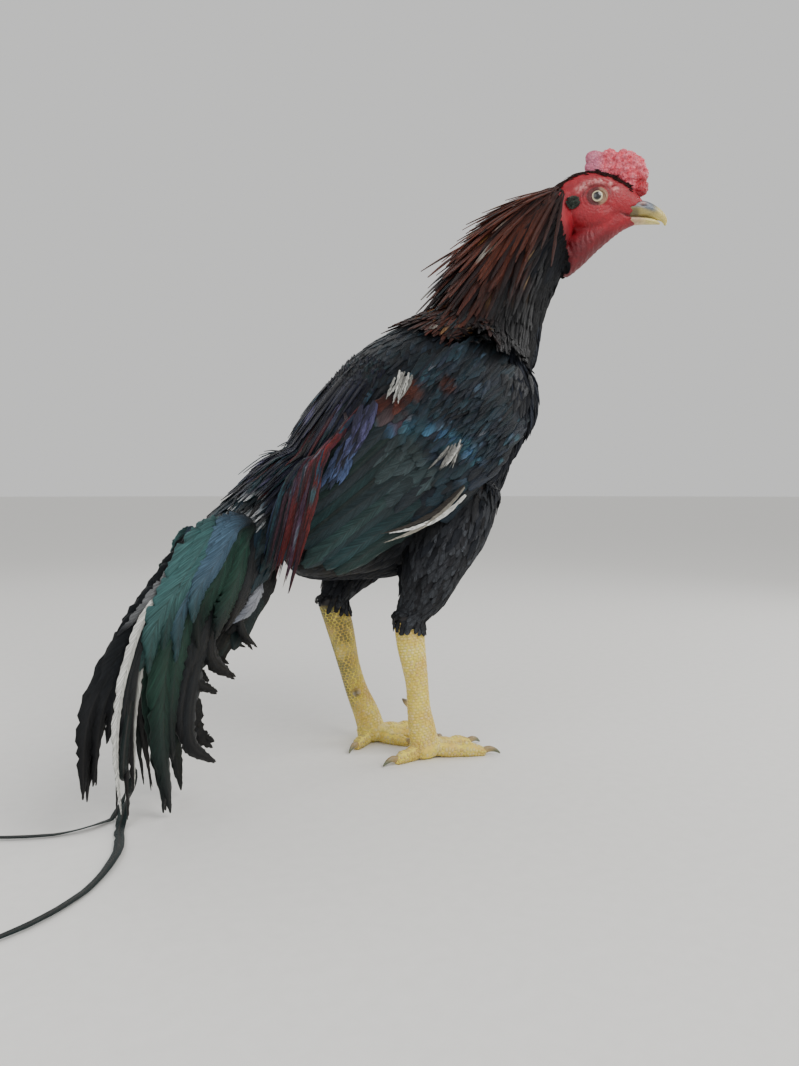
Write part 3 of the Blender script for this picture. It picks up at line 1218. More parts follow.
def laced(colours, middle, columns, strength, rng):
    """The same colours with a darker middle along each feather, as on hackles."""
    x = np.abs(np.linspace(-1, 1, columns))
    count = len(colours)
    share = (1 - ramp(x, 0.15, 0.85))[None, None, :, None] * strength
    share = share * rng.uniform(0.5, 1.0, (count, 1, 1, 1))
    return colours[:, :, None] * (1 - share) + middle * share


def wing_place(points):
    """u and v of points beside the body on the folded wing."""
    away = points - WING_SHOULDER
    return away @ WING_ALONG, away @ WING_UP


def add_contour(tree):
    """Breast, back, flanks and belly."""
    rng = np.random.default_rng(21)
    torso = Loft(TORSO)
    places, angles = roots_on(torso, 0.0074, 0.0086, rng, 0.15, 5.95)
    roots = torso.points(places, angles, -0.003)
    u, v = wing_place(roots)
    hidden = (u > 0.015) & (u < 0.17) & (np.abs(v) < 0.046) & (np.abs(roots[:, 1]) > 0.035)
    places, angles, roots = picked(~hidden, places, angles, roots)
    normals = torso.normals(places, angles)
    flows = -torso.frames(places)[1] + np.array((0, 0, -0.30))
    count = len(roots)
    low = ramp(-np.sin(np.radians(angles)), 0.2, 0.9)
    lengths = (0.034 + 0.006 * low) * rng.uniform(0.85, 1.15, count)
    centres, faces = lay(tree, roots, normals, flows, lengths, 8, 0.0006, 0.0042)
    rear = 1 - ramp(roots[:, 0], -0.075, -0.03)
    base = mixed(JET, SLATE, rng.random(count) * 0.25)
    sheen = mixed(tone(30, 38, 52), TEAL, rng.random(count) * 0.6)
    tip = mixed(base, sheen, ramp(np.sin(np.radians(angles)), -0.4, 0.6) * rng.uniform(0.1, 1.0, count))
    tip = mixed(tip, tone(50, 52, 58), np.maximum(rear, low) * 0.8)
    soft = low > 0.62
    for name, chosen, material, wide, ragged in (("contour_feathers", ~soft, "body", 0.0135, 0.10),
                                                 ("belly_feathers", soft, "down", 0.0120, 0.25)):
        colours = shaded(base[chosen] * 0.8, tip[chosen], 8, 0.35) * speckle(rng, chosen.sum(), 0.75, 1.15)
        widths = wide * rng.uniform(0.8, 1.15, chosen.sum())
        obj = build_feathers(name, centres[chosen], faces[chosen], widths, LANCE, colours,
                             patches_of(torso, places, angles)[chosen], MATERIALS[material],
                             ragged=ragged, split=0.05, tilt=0.12)


def add_breast(tree):
    """Rows of black feathers down the front of the neck's base and the breast."""
    rng = np.random.default_rng(25)
    roots, normals = [], []
    for number, z in enumerate(np.arange(0.440, 0.280, -0.0075)):
        middle = np.interp(z, (0.28, 0.44), (0.060, 0.105))
        for azimuth in np.radians(np.arange(-84, 85, 5.6) + 2.8 * (number % 2)):
            turn = azimuth + rng.normal(0, 0.02)
            way = Vector((-math.cos(turn), -math.sin(turn), 0))
            start = Vector((middle, 0, z + rng.normal(0, 0.0012))) - way * 0.16
            hit, normal, _, _ = tree.ray_cast(start, way)
            if hit is not None:
                roots.append(hit)
                normals.append(normal)
    roots, normals = np.array(roots), np.array(normals)
    u, v = wing_place(roots)
    shown = ~((u > 0.005) & (np.abs(v) < 0.046) & (np.abs(roots[:, 1]) > 0.040))
    roots, normals = picked(shown, roots, normals)
    count = len(roots)
    flows = np.tile((-0.10, 0.0, -1.0), (count, 1))
    centres, faces = lay(tree, roots, normals, flows, rng.uniform(0.028, 0.036, count), 8, 0.0010, 0.0034)
    base = mixed(JET, tone(38, 42, 52), 0.2 + rng.random(count) * 0.8)
    colours = shaded(base * 0.8, base * 1.15, 8, 0.35) * speckle(rng, count, 0.8, 1.15)
    patches = np.stack((0.5 + roots[:, 1] * 5, (roots[:, 2] - 0.28) / 0.18), 1)
    obj = build_feathers("breast_feathers", centres, faces, rng.uniform(0.0065, 0.0095, count), LANCE,
                         colours, np.clip(patches, 0, 1), MATERIALS["down"], ragged=0.16, split=0.05,
                         tilt=0.12, seed=26)


def add_thighs(tree):
    for number, word in enumerate(LEGS):
        rng = np.random.default_rng(31 + number)
        thigh = Loft(THIGHS[word])
        places, angles = roots_on(thigh, 0.0056, 0.0064, rng, 0.0, 4.92)
        roots = thigh.points(places, angles, -0.002)
        out = np.abs(roots[:, 1])
        keep = (places > 1.4) | (out > 0.062) | (np.sin(np.radians(angles)) > 0.5)
        places, angles, roots = picked(keep, places, angles, roots)
        count = len(roots)
        flows = thigh.frames(places)[1] + np.array((-0.12, 0, 0))
        share = places / thigh.last
        lengths = (0.032 - 0.019 * share) * rng.uniform(0.85, 1.2, count)
        rise = 0.0034 - 0.0018 * share
        centres, faces = lay(tree, roots, thigh.normals(places, angles), flows, lengths, 7, 0.0005, rise)
        base = mixed(tone(42, 42, 45), tone(68, 71, 76), rng.random(count) * 0.9)
        colours = shaded(base * 0.75, base * 1.1, 7) * speckle(rng, count)
        widths = (0.0096 - 0.0036 * share) * rng.uniform(0.8, 1.2, count)
        obj = build_feathers("thigh_feathers_" + word, centres, faces, widths, BROAD, colours,
                             patches_of(thigh, places, angles), MATERIALS["down"], columns=4,
                             ragged=0.30, split=0.08, tilt=0.15)


def wing_lines(side, starts, ends, steps, base, rise, bow=0.0):
    """Centres and normals of wing feathers from one place (u, v) to another."""
    shares = np.linspace(0, 1, steps)
    u = starts[:, :1] + (ends - starts)[:, :1] * shares
    v = starts[:, 1:] + (ends - starts)[:, 1:] * shares
    v = v + np.asarray(bow).reshape(-1, 1) * np.sin(np.pi * shares)
    level = np.asarray(base).reshape(-1, 1) + np.asarray(rise).reshape(-1, 1) * shares
    centres = wing_points(side, u, v, level)
    du = wing_points(side, u + 0.002, v, level) - centres
    dv = wing_points(side, u, v + 0.002, level) - centres
    normals = unit(np.cross(dv, du))
    return centres, normals * np.sign(normals[..., 1:2] * side + 1e-9), u, v


def wing_colours(u, v, base, rng):
    """The markings of the wing at places (u, v), over each feather's own base colour."""
    place = np.stack((u, v), -1)
    colour = np.repeat(base[:, None], u.shape[1], 1)
    own = rng.random((len(u), 1))
    bar = np.abs((v - 0.016) - (u - 0.113) * 1.35) / 1.70
    in_bar = (1 - ramp(bar, 0.006, 0.013)) * ramp(u, 0.074, 0.086) * (1 - ramp(u, 0.142, 0.154))
    blue_green = mixed(tone(32, 70, 72), tone(52, 82, 112), own)
    colour = mixed(colour, blue_green, in_bar * ramp(own, 0.0, 0.3) * 0.85)
    grey = ramp(u, 0.118, 0.132) * (1 - ramp(np.abs(v - 0.004), 0.020, 0.034))
    colour = mixed(colour, tone(50, 62, 62), grey * 0.7)
    for centre, radii, paint_tone, amount in (
            ((0.127, 0.048), (0.022, 0.014), CHESTNUT, 1.0),
            ((0.067, 0.036), (0.010, 0.012), CHESTNUT * 0.7, 0.9),
            ((0.098, 0.050), (0.014, 0.010), MAHOGANY * 0.8, 0.8)):
        colour = mixed(colour, paint_tone, spot(place, centre, radii) * amount * ramp(own, 0.02, 0.30))
    return colour


def add_wing(side, word):
    rng = np.random.default_rng(41 + side)

    def pieces(name, starts, ends, width, profile, base, rise, tones, steps, material="wing", bow=0.0,
               camber=0.09, ragged=0.25, quill=0.2, columns=5, tilt=0.06, split=0.14, mark=False, fade=0.0,
               glint=0.0):
        count = len(starts)
        starts = starts + rng.normal(0, 0.0012, starts.shape)
        ends = ends + rng.normal(0, 0.0016, ends.shape)
        centres, normals, u, v = wing_lines(side, starts, ends, steps, base, rise, bow)
        colours = np.repeat(tones[:, None], steps, 1)
        if mark:
            colours = wing_colours(u, v, tones, rng)
        colours = colours * speckle(rng, count, 0.65, 1.35)
        colours = glinting(colours, rng, glint, (tone(74, 96, 116), tone(88, 92, 100), tone(50, 84, 96)))
        share = np.linspace(0, 1, steps)
        colours = colours * (0.75 + 0.45 * ramp(share, 0.2, 0.9) - fade * share)[None, :, None]
        # One edge is lit and the other lies in the next feather's shade
        across = np.linspace(-1, 1, columns) * side
        colours = colours[:, :, None] * (1 + 0.28 * across + 0.22 * across ** 2)[None, None, :, None]
        patches = np.clip(np.stack(((starts[:, 0] + 0.03) / 0.34, (starts[:, 1] + 0.09) / 0.18), 1), 0, 1)
        obj = build_feathers("%s_%s" % (name, word), centres, normals, width * rng.uniform(0.9, 1.1, count),
                             profile, colours, patches, MATERIALS[material], columns, camber, ragged,
                             split, tilt, quill=quill, seed=50 + side)
        return obj

    # Primaries, whose ends show under the secondaries
    share = np.linspace(0, 1, 7)
    starts = np.stack((0.120 + 0 * share, -0.056 + 0.012 * share), 1)
    ends = np.stack((0.252 + 0.028 * share, -0.026 + 0.020 * share), 1)
    first = pieces("primaries", starts, ends, 0.017, LONG, -0.0035 + 0.0008 * np.arange(7), 0.0,
                   np.tile(tone(17, 20, 24), (7, 1)), 16, bow=0.002, ragged=0.05, split=0.02, quill=0.6,
                   tilt=0.02)
    # Secondaries: broad and soft, dark green, each over the next lower one
    count = 14
    share = np.linspace(0, 1, count)
    starts = np.stack((0.112 + 0 * share, -0.052 + 0.104 * share), 1)
    ends = np.stack((0.212 + 0.056 * np.sin(np.pi * (0.22 + 0.55 * share)), -0.030 + 0.070 * share), 1)
    ends += rng.normal(0, 0.003, ends.shape)
    tones = mixed(mixed(GREEN, TEAL, rng.random(count) * 0.6), tone(34, 42, 48), rng.random(count))
    tones *= rng.uniform(0.6, 1.35, (count, 1))
    pieces("secondaries", starts, ends, 0.0270, BROAD, 0.0020 + 0.0001 * np.arange(count), 0.0022,
           tones, 26, bow=0.006 * (0.6 - share), camber=0.20, ragged=0.16, split=0.06, quill=0.35, tilt=0.07,
           columns=7)
    if side < 0:
        # One whitish edge under the coverts
        starts = np.array([(0.108, -0.0450), (0.110, -0.0475), (0.111, -0.0500)])
        ends = np.array([(0.200, -0.0300), (0.197, -0.0325), (0.193, -0.0350)])
        pale = np.array((tone(70, 66, 62), tone(150, 146, 136), WHITE))
        pieces("white_secondary", starts, ends, 0.0056, LANCE, 0.0104, 0.0, pale, 24, "down", -0.0085,
               ragged=0.26, split=0.12, tilt=0.02)
    # Coverts in rows from the lowest to the shoulder
    for name, row_u, length, width, spacing, low, high, base, rise, steps, profile in (
            ("greater_coverts", (0.084, 0.104), 0.064, 0.0225, 0.0120, -0.056, 0.060,
             0.0044, 0.0034, 14, BROAD),
            ("median_coverts", (0.062, 0.073, 0.083), 0.044, 0.0130, 0.0084, -0.057, 0.060,
             0.0054, 0.0036, 11, BROAD),
            ("lesser_coverts", np.arange(-0.022, 0.068, 0.0058), 0.034, 0.0086, 0.0062, -0.056, 0.067,
             0.0056, 0.0036, 9, LANCE)):
        starts, ends = [], []
        for number, u in enumerate(row_u):
            room = math.sqrt(max(0.15, 1 - ((u - 0.10) / 0.150) ** 2))
            for v in np.arange(low * room, high * room, spacing) + spacing * 0.5 * (number % 2):
                bulge = 0.010 * math.cos(v / 0.060 * math.pi / 2)
                starts.append((u + bulge, v))
                ends.append((u + bulge + length, v * (0.92 if u > 0.05 else 0.97) - 0.001))
        starts, ends = np.array(starts), np.array(ends)
        starts += rng.normal(0, 0.0012, starts.shape)
        ends += rng.normal(0, 0.0028, ends.shape)
        blue = mixed(tone(30, 38, 52), TEAL, rng.random(len(starts)) * 0.6)
        tones = mixed(JET, blue, rng.uniform(0.20, 1.0, len(starts)))
        # The shoulder's front edge lies flat among the breast feathers
        base = base - 0.0044 * (1 - ramp(starts[:, 0], -0.028, 0.020))
        pieces(name, starts, ends, width, profile, base, rise, tones, steps, ragged=0.30, tilt=0.14,
               mark=True, glint=0.10 if width < 0.02 else 0.0)
    if side < 0:
        # The streaked whitish covert and the wisps of the white tuft
        fan = np.linspace(0, 1, 9)
        starts = np.stack((0.090 + 0.012 * fan, -0.012 + 0.004 * fan), 1) + rng.normal(0, 0.001, (9, 2))
        ends = starts + np.stack((0.022 + 0.006 * fan, -0.012 + 0.008 * fan), 1)
        pale = WHITE * np.array((0.95, 0.30, 0.90, 0.55, 0.24, 0.42, 0.30, 0.36, 0.22))[:, None]
        pieces("white_covert", starts, ends, 0.0034, LANCE, 0.0112, 0.001, pale, 12, "down", ragged=0.5,
               split=0.3, quill=0.0, fade=0.6)
        starts = np.stack((rng.uniform(0.090, 0.106, 22), rng.uniform(0.060, 0.070, 22)), 1)
        ends = starts + np.stack((rng.uniform(0.012, 0.026, 22), rng.uniform(-0.010, -0.004, 22)), 1)
        pale = WHITE * rng.uniform(0.35, 0.95, (22, 1))
        pieces("white_tuft", starts, ends, 0.0036, LANCE, 0.0094, 0.002, pale, 10, "down", ragged=0.5,
               split=0.3, quill=0.0, fade=0.5)
    # Violet and steel blue feathers along the wing's upper border
    count = 54
    run = np.sort(rng.uniform(0, 1, count))
    starts = np.stack((0.140 + 0.052 * run + rng.uniform(-0.010, 0.002, count),
                       0.064 - 0.022 * run + rng.uniform(-0.006, 0.006, count)), 1)
    ends = starts + np.stack((rng.uniform(0.022, 0.032, count), rng.uniform(-0.016, -0.008, count)), 1)
    tones = mixed(VIOLET, STEEL, np.clip(run * 1.6 - 0.3 + rng.normal(0, 0.15, count), 0, 1))
    tones = mixed(tones, JET, rng.uniform(0.15, 1.0, count))
    pieces("scapulars", starts, ends, 0.0064, LANCE, 0.0098, 0.002, tones, 10, split=0.10, tilt=0.14)
    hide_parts("wing_" + word)


def add_saddle(tree):
    """Long narrow hackles from the back over the wings and down both sides of the tail's root."""
    rng = np.random.default_rng(61)
    torso = Loft(TORSO)
    places, angles = roots_on(torso, 0.0066, 0.0060, rng, 1.05, 4.15, 90, 84)
    turn = (angles - 90) / 84
    wide = np.interp(places, (1.0, 1.9, 2.6, 3.4, 4.2), (0.74, 0.78, 0.70, 0.52, 0.46))
    places, angles, turn = picked(np.abs(turn) < wide, places, angles, turn)
    roots = torso.points(places, angles, 0.0010)
    count = len(roots)
    flows = -torso.frames(places)[1] + np.array((0, 0, -0.30))
    flows[:, 2] -= 1.1 * ramp(np.abs(turn), 0.30, 0.95) * (1 - ramp(places, 2.4, 3.4))
    lengths = np.interp(places, (1.0, 1.85, 3.1, 4.2), (0.038, 0.062, 0.100, 0.080))
    lengths = lengths * rng.uniform(0.78, 1.16, count)
    rise = rng.uniform(0.0060, 0.0090, count) * np.interp(places, (1.0, 2.0, 3.0), (0.35, 0.50, 1.0))
    centres, faces = lay(tree, roots, torso.normals(places, angles), flows, lengths, 12, 0.0010, rise,
                         0.0, 0.12, slack=np.interp(places, (1.0, 2.4, 3.4), (0.0012, 0.0020, 0.0040)))
    places, angles, turn, centres, faces = picked(
        bends(centres) > 0.80, places, angles, turn, centres, faces)
    count = len(places)
    black = mixed(JET, tone(30, 34, 60), rng.random(count) * 0.8)
    base = mixed(black, TEAL, (rng.random(count) < 0.20) * 0.7)
    red = ramp(np.abs(turn), 0.50, 0.75) * (1 - ramp(places, 2.0, 2.8)) * (rng.random(count) < 0.80)
    red = np.maximum(red, (rng.random(count) < 0.05) * 0.8)
    tip = mixed(base, OXBLOOD, red)
    colours = shaded(base * 0.8, tip * 1.15, 12, 0.10) * speckle(rng, count, 0.75, 1.25)
    colours = glinting(colours, rng, 0.22, (tone(120, 126, 138), tone(60, 92, 110), tone(96, 92, 130)))
    # White ends beside the tail's root
    frost = spot(centres, (-0.163, -0.050, 0.246), (0.030, 0.040, 0.026))
    frost = np.clip(frost * rng.uniform(-0.3, 1.7, (count, 1)), 0, 1)
    colours = mixed(colours, PALE, frost)
    colours = laced(colours, JET, 5, 0.55, rng)
    obj = build_feathers("saddle_hackle", centres, faces, rng.uniform(0.0060, 0.0088, count), SLENDER,
                         colours, patches_of(torso, places, angles), MATERIALS["saddle"], ragged=0.16,
                         split=0.05, tilt=0.14, quill=0.3, seed=62)
    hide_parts("saddle")
    add_bands(tree, rng)


def add_bands(tree, rng):
    """The red brown band over either wing's rear end, close to the body at first, then free."""
    steps = 13
    for side, word in SIDES:
        count = 170
        across = rng.uniform(0, 1, count)
        begin = rng.uniform(0.0, 1.75, count)
        end = np.minimum(begin + rng.uniform(0.9, 1.5, count),
                         rng.uniform(2.62, 3.0, count) - 0.75 * (side > 0))
        centres, faces = [], []
        for k in range(count):
            line = line_loft(mixed(BAND_FRONT, BAND_REAR, across[k] + rng.normal(0, 0.03)))
            share = np.linspace(begin[k], end[k], steps)
            at = line.read(share)[:, :3]
            at[:, 1] += 0.0035 * np.linspace(0, 1, steps) + rng.uniform(-0.0015, 0.0015)
            for j, point in enumerate(at):
                near, facing, _, _ = tree.find_nearest(Vector(point * (1, side, 1)))
                close = np.array(near + facing * (0.0035 + 0.004 * j / steps)) * (1, side, 1)
                at[j] = mixed(close, point, ramp(share[j] / 3, 0.35, 0.85))
            at[1:-1] = (at[:-2] + 2 * at[1:-1] + at[2:]) / 4
            centres.append(at * (1, side, 1))
            faces.append(np.tile(unit(np.array((-0.30, side, 0.30 + 0.8 * across[k]))), (steps, 1)))
        centres, faces = np.array(centres), np.array(faces)
        centres, faces, across, begin = picked(bends(centres) > 0.80, centres, faces, across, begin)
        count = len(centres)
        red = (1 - ramp(across, 0.45, 0.80)) * (rng.random(count) < 0.85)
        base = mixed(JET, mixed(tone(34, 36, 62), TEAL, rng.random(count)), rng.random(count)) * 2.2
        tip = mixed(base, OXBLOOD * 1.9, red * rng.uniform(0.3, 1.0, count))
        colours = shaded(mixed(base, tip, 0.6) * 0.8, tip * 1.05, steps, 0.0)
        colours = colours * speckle(rng, count, 0.55, 1.3)
        colours = glinting(colours, rng, 0.14, (tone(110, 116, 130), tone(56, 96, 104), tone(90, 84, 120)))
        colours = laced(colours, JET, 5, 0.5, rng)
        patches = np.stack((0.05 + 0.9 * across, 0.05 + 0.3 * begin), 1)
        band = build_feathers("saddle_band_" + word, centres, faces, rng.uniform(0.0042, 0.0072, count),
                              LANCE, colours, patches, MATERIALS["saddle"], ragged=0.34, split=0.14,
                              tilt=0.12, quill=0.3, seed=64)


def add_hackle(tree, bare_tree):
    """Long narrow neck hackles with free ends, short dense feathers on the throat side."""
    rng = np.random.default_rng(71)
    neck = Loft(NECK)
    places, angles = roots_on(neck, 0.0046, 0.0050, rng, 0.30, 4.95)
    roots = neck.points(places, angles, -0.002)
    head = in_head(roots)
    bare = (head[:, 0] > rear_edge(head[:, 2]) - 0.001) & (head[:, 2] > -0.086)
    bare &= (head[:, 2] < -0.004) | (head[:, 0] > -0.030)
    places, angles, roots = picked(~bare, places, angles, roots)
    turn = np.abs(((angles - 90 + 180) % 360) - 180) / 180
    normals = neck.normals(places, angles)
    back = 1 - ramp(turn, 0.55, 0.80)
    least = np.interp(turn, (0.0, 0.20, 0.30, 0.50, 0.70), (0.392, 0.392, 0.388, 0.388, 0.396))
    keep = (turn > 0.55) | (roots[:, 2] > least + 0.022)
    places, angles, roots, turn = picked(keep, places, angles, roots, turn)
    normals, back, least = picked(keep, normals, back, least)
    count = len(roots)
    # The mane runs back in tiers, flat behind the head and steeper below and on the sides
    flows = -neck.frames(places)[1] + np.array((-0.12, 0, -0.30))
    slope = np.interp(places, (1.2, 2.0, 2.8, 3.6, 4.4, 5.0), (50, 43, 38, 32, 25, 20))
    slope = np.radians(slope + (64 - slope) * ramp(turn, 0.08, 0.46) + rng.normal(0, 4.0, count))
    mane = np.stack((-np.cos(slope), normals[:, 1] * 0.16, -np.sin(slope)), 1)
    free = (turn < 0.44) & (places > 1.3)
    flows = np.where(free[:, None], mane, flows)
    long = np.interp(places, (0.0, 1.1, 1.9, 2.7, 3.5, 4.3, 5.0),
                     (0.066, 0.082, 0.090, 0.094, 0.094, 0.090, 0.066))
    long = long * (1 + 0.22 * ramp(turn, 0.12, 0.34))
    lengths = (long * back + 0.032 * (1 - back)) * rng.uniform(0.70, 1.08, count) * (1 - 0.25 * turn)
    room = np.maximum((roots[:, 2] - least) / np.sin(np.clip(slope, 0.5, 1.5)) + 0.008, 0.030)
    lengths = np.where(back > 0.5, np.minimum(lengths, room * rng.uniform(0.85, 1.05, count)), lengths)
    front = mixed(JET * 0.8, tone(28, 32, 40), rng.random(count) * 0.5)
    red = mixed(MAHOGANY, tone(104, 46, 28), rng.random(count) ** 2)
    low = mixed(tone(28, 20, 19), TEAL, (rng.random(count) < 0.45) * 0.7)
    dark = np.clip(ramp(turn, 0.44, 0.66) + ramp(places, 4.3, 4.9) * ramp(turn, 0.2, 0.4)
                   + (1 - ramp(places, 0.3, 1.2)) * ramp(turn, 0.15, 0.35), 0, 1)
    tip = mixed(red, low, (1 - ramp(places, 1.6, 3.0)) * rng.uniform(0.2, 1.0, count))
    tip = mixed(tip, front, (rng.random(count) < 0.16) * 0.8)
    tip = mixed(tip, front, dark)
    colours = shaded(mixed(front, tip, 0.45), tip, 11, 0.05) * speckle(rng, count, 0.7, 1.3)
    slim = back > 0.5
    colours[slim] = glinting(colours[slim], rng, 0.10, (GOLD, tone(160, 156, 146), tone(150, 120, 84)))
    fine = 0.52 + 0.48 * (1 - ramp(places, 2.6, 4.6))
    for name, chosen, under, width, profile, slack, straight, lace, material, ragged in (
            ("neck_hackle", slim, tree, 0.0068 * fine, MANE, 0.006, 0.55, 0.45, "hackle", 0.22),
            ("front_neck_feathers", ~slim, bare_tree, 0.0110 + 0 * fine, BROAD, 0.002, 0.88, 0.2,
             "down", 0.12)):
        centres, faces = lay(under, roots[chosen], normals[chosen], flows[chosen], lengths[chosen], 11,
                             0.0008, 0.0070 * back[chosen] + 0.0018, 0.0, 0.05,
                             slack=np.where(free[chosen], 1.0, slack))
        good = np.linalg.norm(centres[:, -1] - centres[:, 0], axis=1) >= straight * lengths[chosen]
        chosen, centres, faces = picked(good, np.flatnonzero(chosen), centres, faces)
        # The mane's lower front turns black
        black = ramp(centres[..., 0], 0.050, 0.095) * (1 - ramp(centres[..., 2], 0.430, 0.480))
        tint = laced(mixed(colours[chosen], JET * 1.1, black), JET, 5, lace, rng)
        widths = width[chosen] * rng.uniform(0.8, 1.2, len(chosen))
        obj = build_feathers(name, centres, faces, widths, profile, tint,
                             patches_of(neck, places, angles)[chosen], MATERIALS[material], ragged=ragged,
                             split=0.08, tilt=0.16, quill=0.3, seed=72)
        if name == "neck_hackle":
            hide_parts("neck")


def cast(tree, places, out, reach):
    """Where rays from both sides of the head meet it, and the normals there; places are (x, z, side)."""
    found = []
    for x, z, side in places:
        way = Vector(head_way((0, -1, 0), side))
        hit, normal, _, _ = tree.ray_cast(Vector(on_head((x, out, z), side)), way, reach)
        if hit is not None:
            found.append((hit, normal))
    return [np.array(rows) for rows in zip(*found)]


def add_head_feathers(tree):
    """Back of the head, the thin line over the crown, the bare face's border and the ear's tuft."""
    rng = np.random.default_rng(81)
    skull = head_loft(SKULL)
    places, angles = roots_on(skull, 0.0030, 0.0032, rng, 0.25, 1.55)
    roots = skull.points(places, angles, -0.0005)
    head = in_head(roots)
    places, angles, roots = picked((head[:, 2] > -0.004) & (head[:, 0] < -0.031), places, angles, roots)
    crown, border, ears, ear_normals = [], [], [], []
    for side, _ in SIDES:
        for t in rng.uniform(0, 1, 210):
            x = -0.036 + 0.074 * t
            z = np.interp(x, *CROWN_LINE.T) + rng.normal(0, 0.0011 + 0.0008 * math.sin(26 * t) ** 2)
            crown.append((x, z, side))
    for side, _ in SIDES:
        for _ in range(220):
            a, r = rng.uniform(0, 2 * math.pi), math.sqrt(rng.random())
            place = on_head((EAR_CENTRE[0] + 0.0066 * r * math.cos(a) + 0.0016, 0.0188,
                             EAR_CENTRE[2] + 0.0060 * r * math.sin(a) + 0.0012), side)
            near, normal, _, _ = tree.find_nearest(Vector(place))
            ears.append(near)
            ear_normals.append((Vector(head_way((0, 1, 0), side)) * 0.4 + normal * 0.6).normalized())
    for side, _ in SIDES:
        for z in np.arange(-0.006, -0.070, -0.0022):
            for back in (0.0, 0.0028, 0.0056, 0.0084, 0.0112):
                x = rear_edge(z) - back + rng.normal(0, 0.0007)
                border.append((x, z + rng.normal(0, 0.0006), side))
    for name, some, facing, fall, length, width, base, rise, slot_name, colour in (
            ("nape_feathers", roots, skull.normals(places, angles), 0.25, 0.020, 0.0042, 0.0003, 0.0020,
             "hackle", tone(48, 26, 24)),
            ("crown_feathers", *cast(tree, crown, 0.030, 1.0), 0, 0.0075, 0.0014, 0.0002, 0.0010,
             "hackle", tone(50, 28, 26)),
            ("border_feathers", *cast(tree, border, 0.040, 0.04), 1.3, 0.020, 0.0046, 0.0003, 0.0026,
             "hackle", tone(20, 18, 19)),
            ("ear_feathers", np.array(ears), np.array(ear_normals), 0.5, 0.0056, 0.0012, 0.0003, 0.0018,
             "ear", tone(62, 68, 62))):
        count = len(some)
        flows = np.tile(head_way((-1, 0, 0)) - np.array((0, 0, fall)), (count, 1))
        lengths = length * rng.uniform(0.7, 1.25, count)
        centres, faces = lay(tree, some, facing, flows, lengths, 6, base, rise)
        tones = np.tile(colour, (count, 1)) * rng.uniform(0.5, 1.5, (count, 1))
        x, y, z = in_head(some).T
        patches = np.clip(np.stack(((x + 0.05) / 0.10, (z + 0.04) / 0.08), 1), 0, 1)
        patches[:, 0] = patches[:, 0] / 2 + 0.5 * (y > 0)
        obj = build_feathers(name, centres, faces, width * rng.uniform(0.8, 1.3, count), SLENDER,
                             shaded(tones, tones * 1.2, 6), patches, MATERIALS["down"], columns=3,
                             camber=0.12, ragged=0.2, split=0.0, tilt=0.2, thick=0.0002, seed=82)
        if slot_name == "ear":
            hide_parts("ear_left", "ear_right")


def tail_hull():
    """A plain shape of the tail's upper part that feathers are laid over; it isn't shown."""
    rows = []
    for back, height, above, below, wide in TAIL_HULL:
        x, y, _ = TAIL_ORIGIN + TAIL_BACK * back
        rows.append((x, y, height, below, above, wide, 29.5 if back > 0 else 10))
    return Loft(rows)


def tail_place(flat, out):
    """Points on the tail's upright layers: flat holds (back, height), out is the way to the right."""
    return TAIL_ORIGIN + TAIL_BACK * flat[..., :1] + TAIL_OUT * out[..., None] + UP * flat[..., 1:]


def tail_kind_colours(kind, steps, columns, rng):
    """The colours of one showing tail feather, for each place and column."""
    middle, tip = (tone(*value) for value in TAIL_TONES[kind])
    share = np.linspace(0, 1, steps)
    rows = mixed(JET, middle, ramp(share, 0.0, 0.35))
    rows = mixed(rows, tip, ramp(share, 0.55, 0.95))
    if kind == "white":
        rows = mixed(rows, WHITE, ramp(share, 0.10, 0.25))
    if kind == "streak":
        dark = np.maximum(1 - ramp(share, 0.12, 0.35), ramp(share, 0.80, 0.95))
        rows = mixed(rows, tone(30, 34, 40), dark)
    colours = np.repeat(rows[:, None], columns, 1)
    if kind == "edged":
        edge = ramp(-np.linspace(-1, 1, columns), 0.05, 0.50)[None] * ramp(share, 0.36, 0.48)[:, None]
        colours = mixed(colours, WHITE * 0.85, edge)
    return colours * rng.uniform(0.85, 1.15)


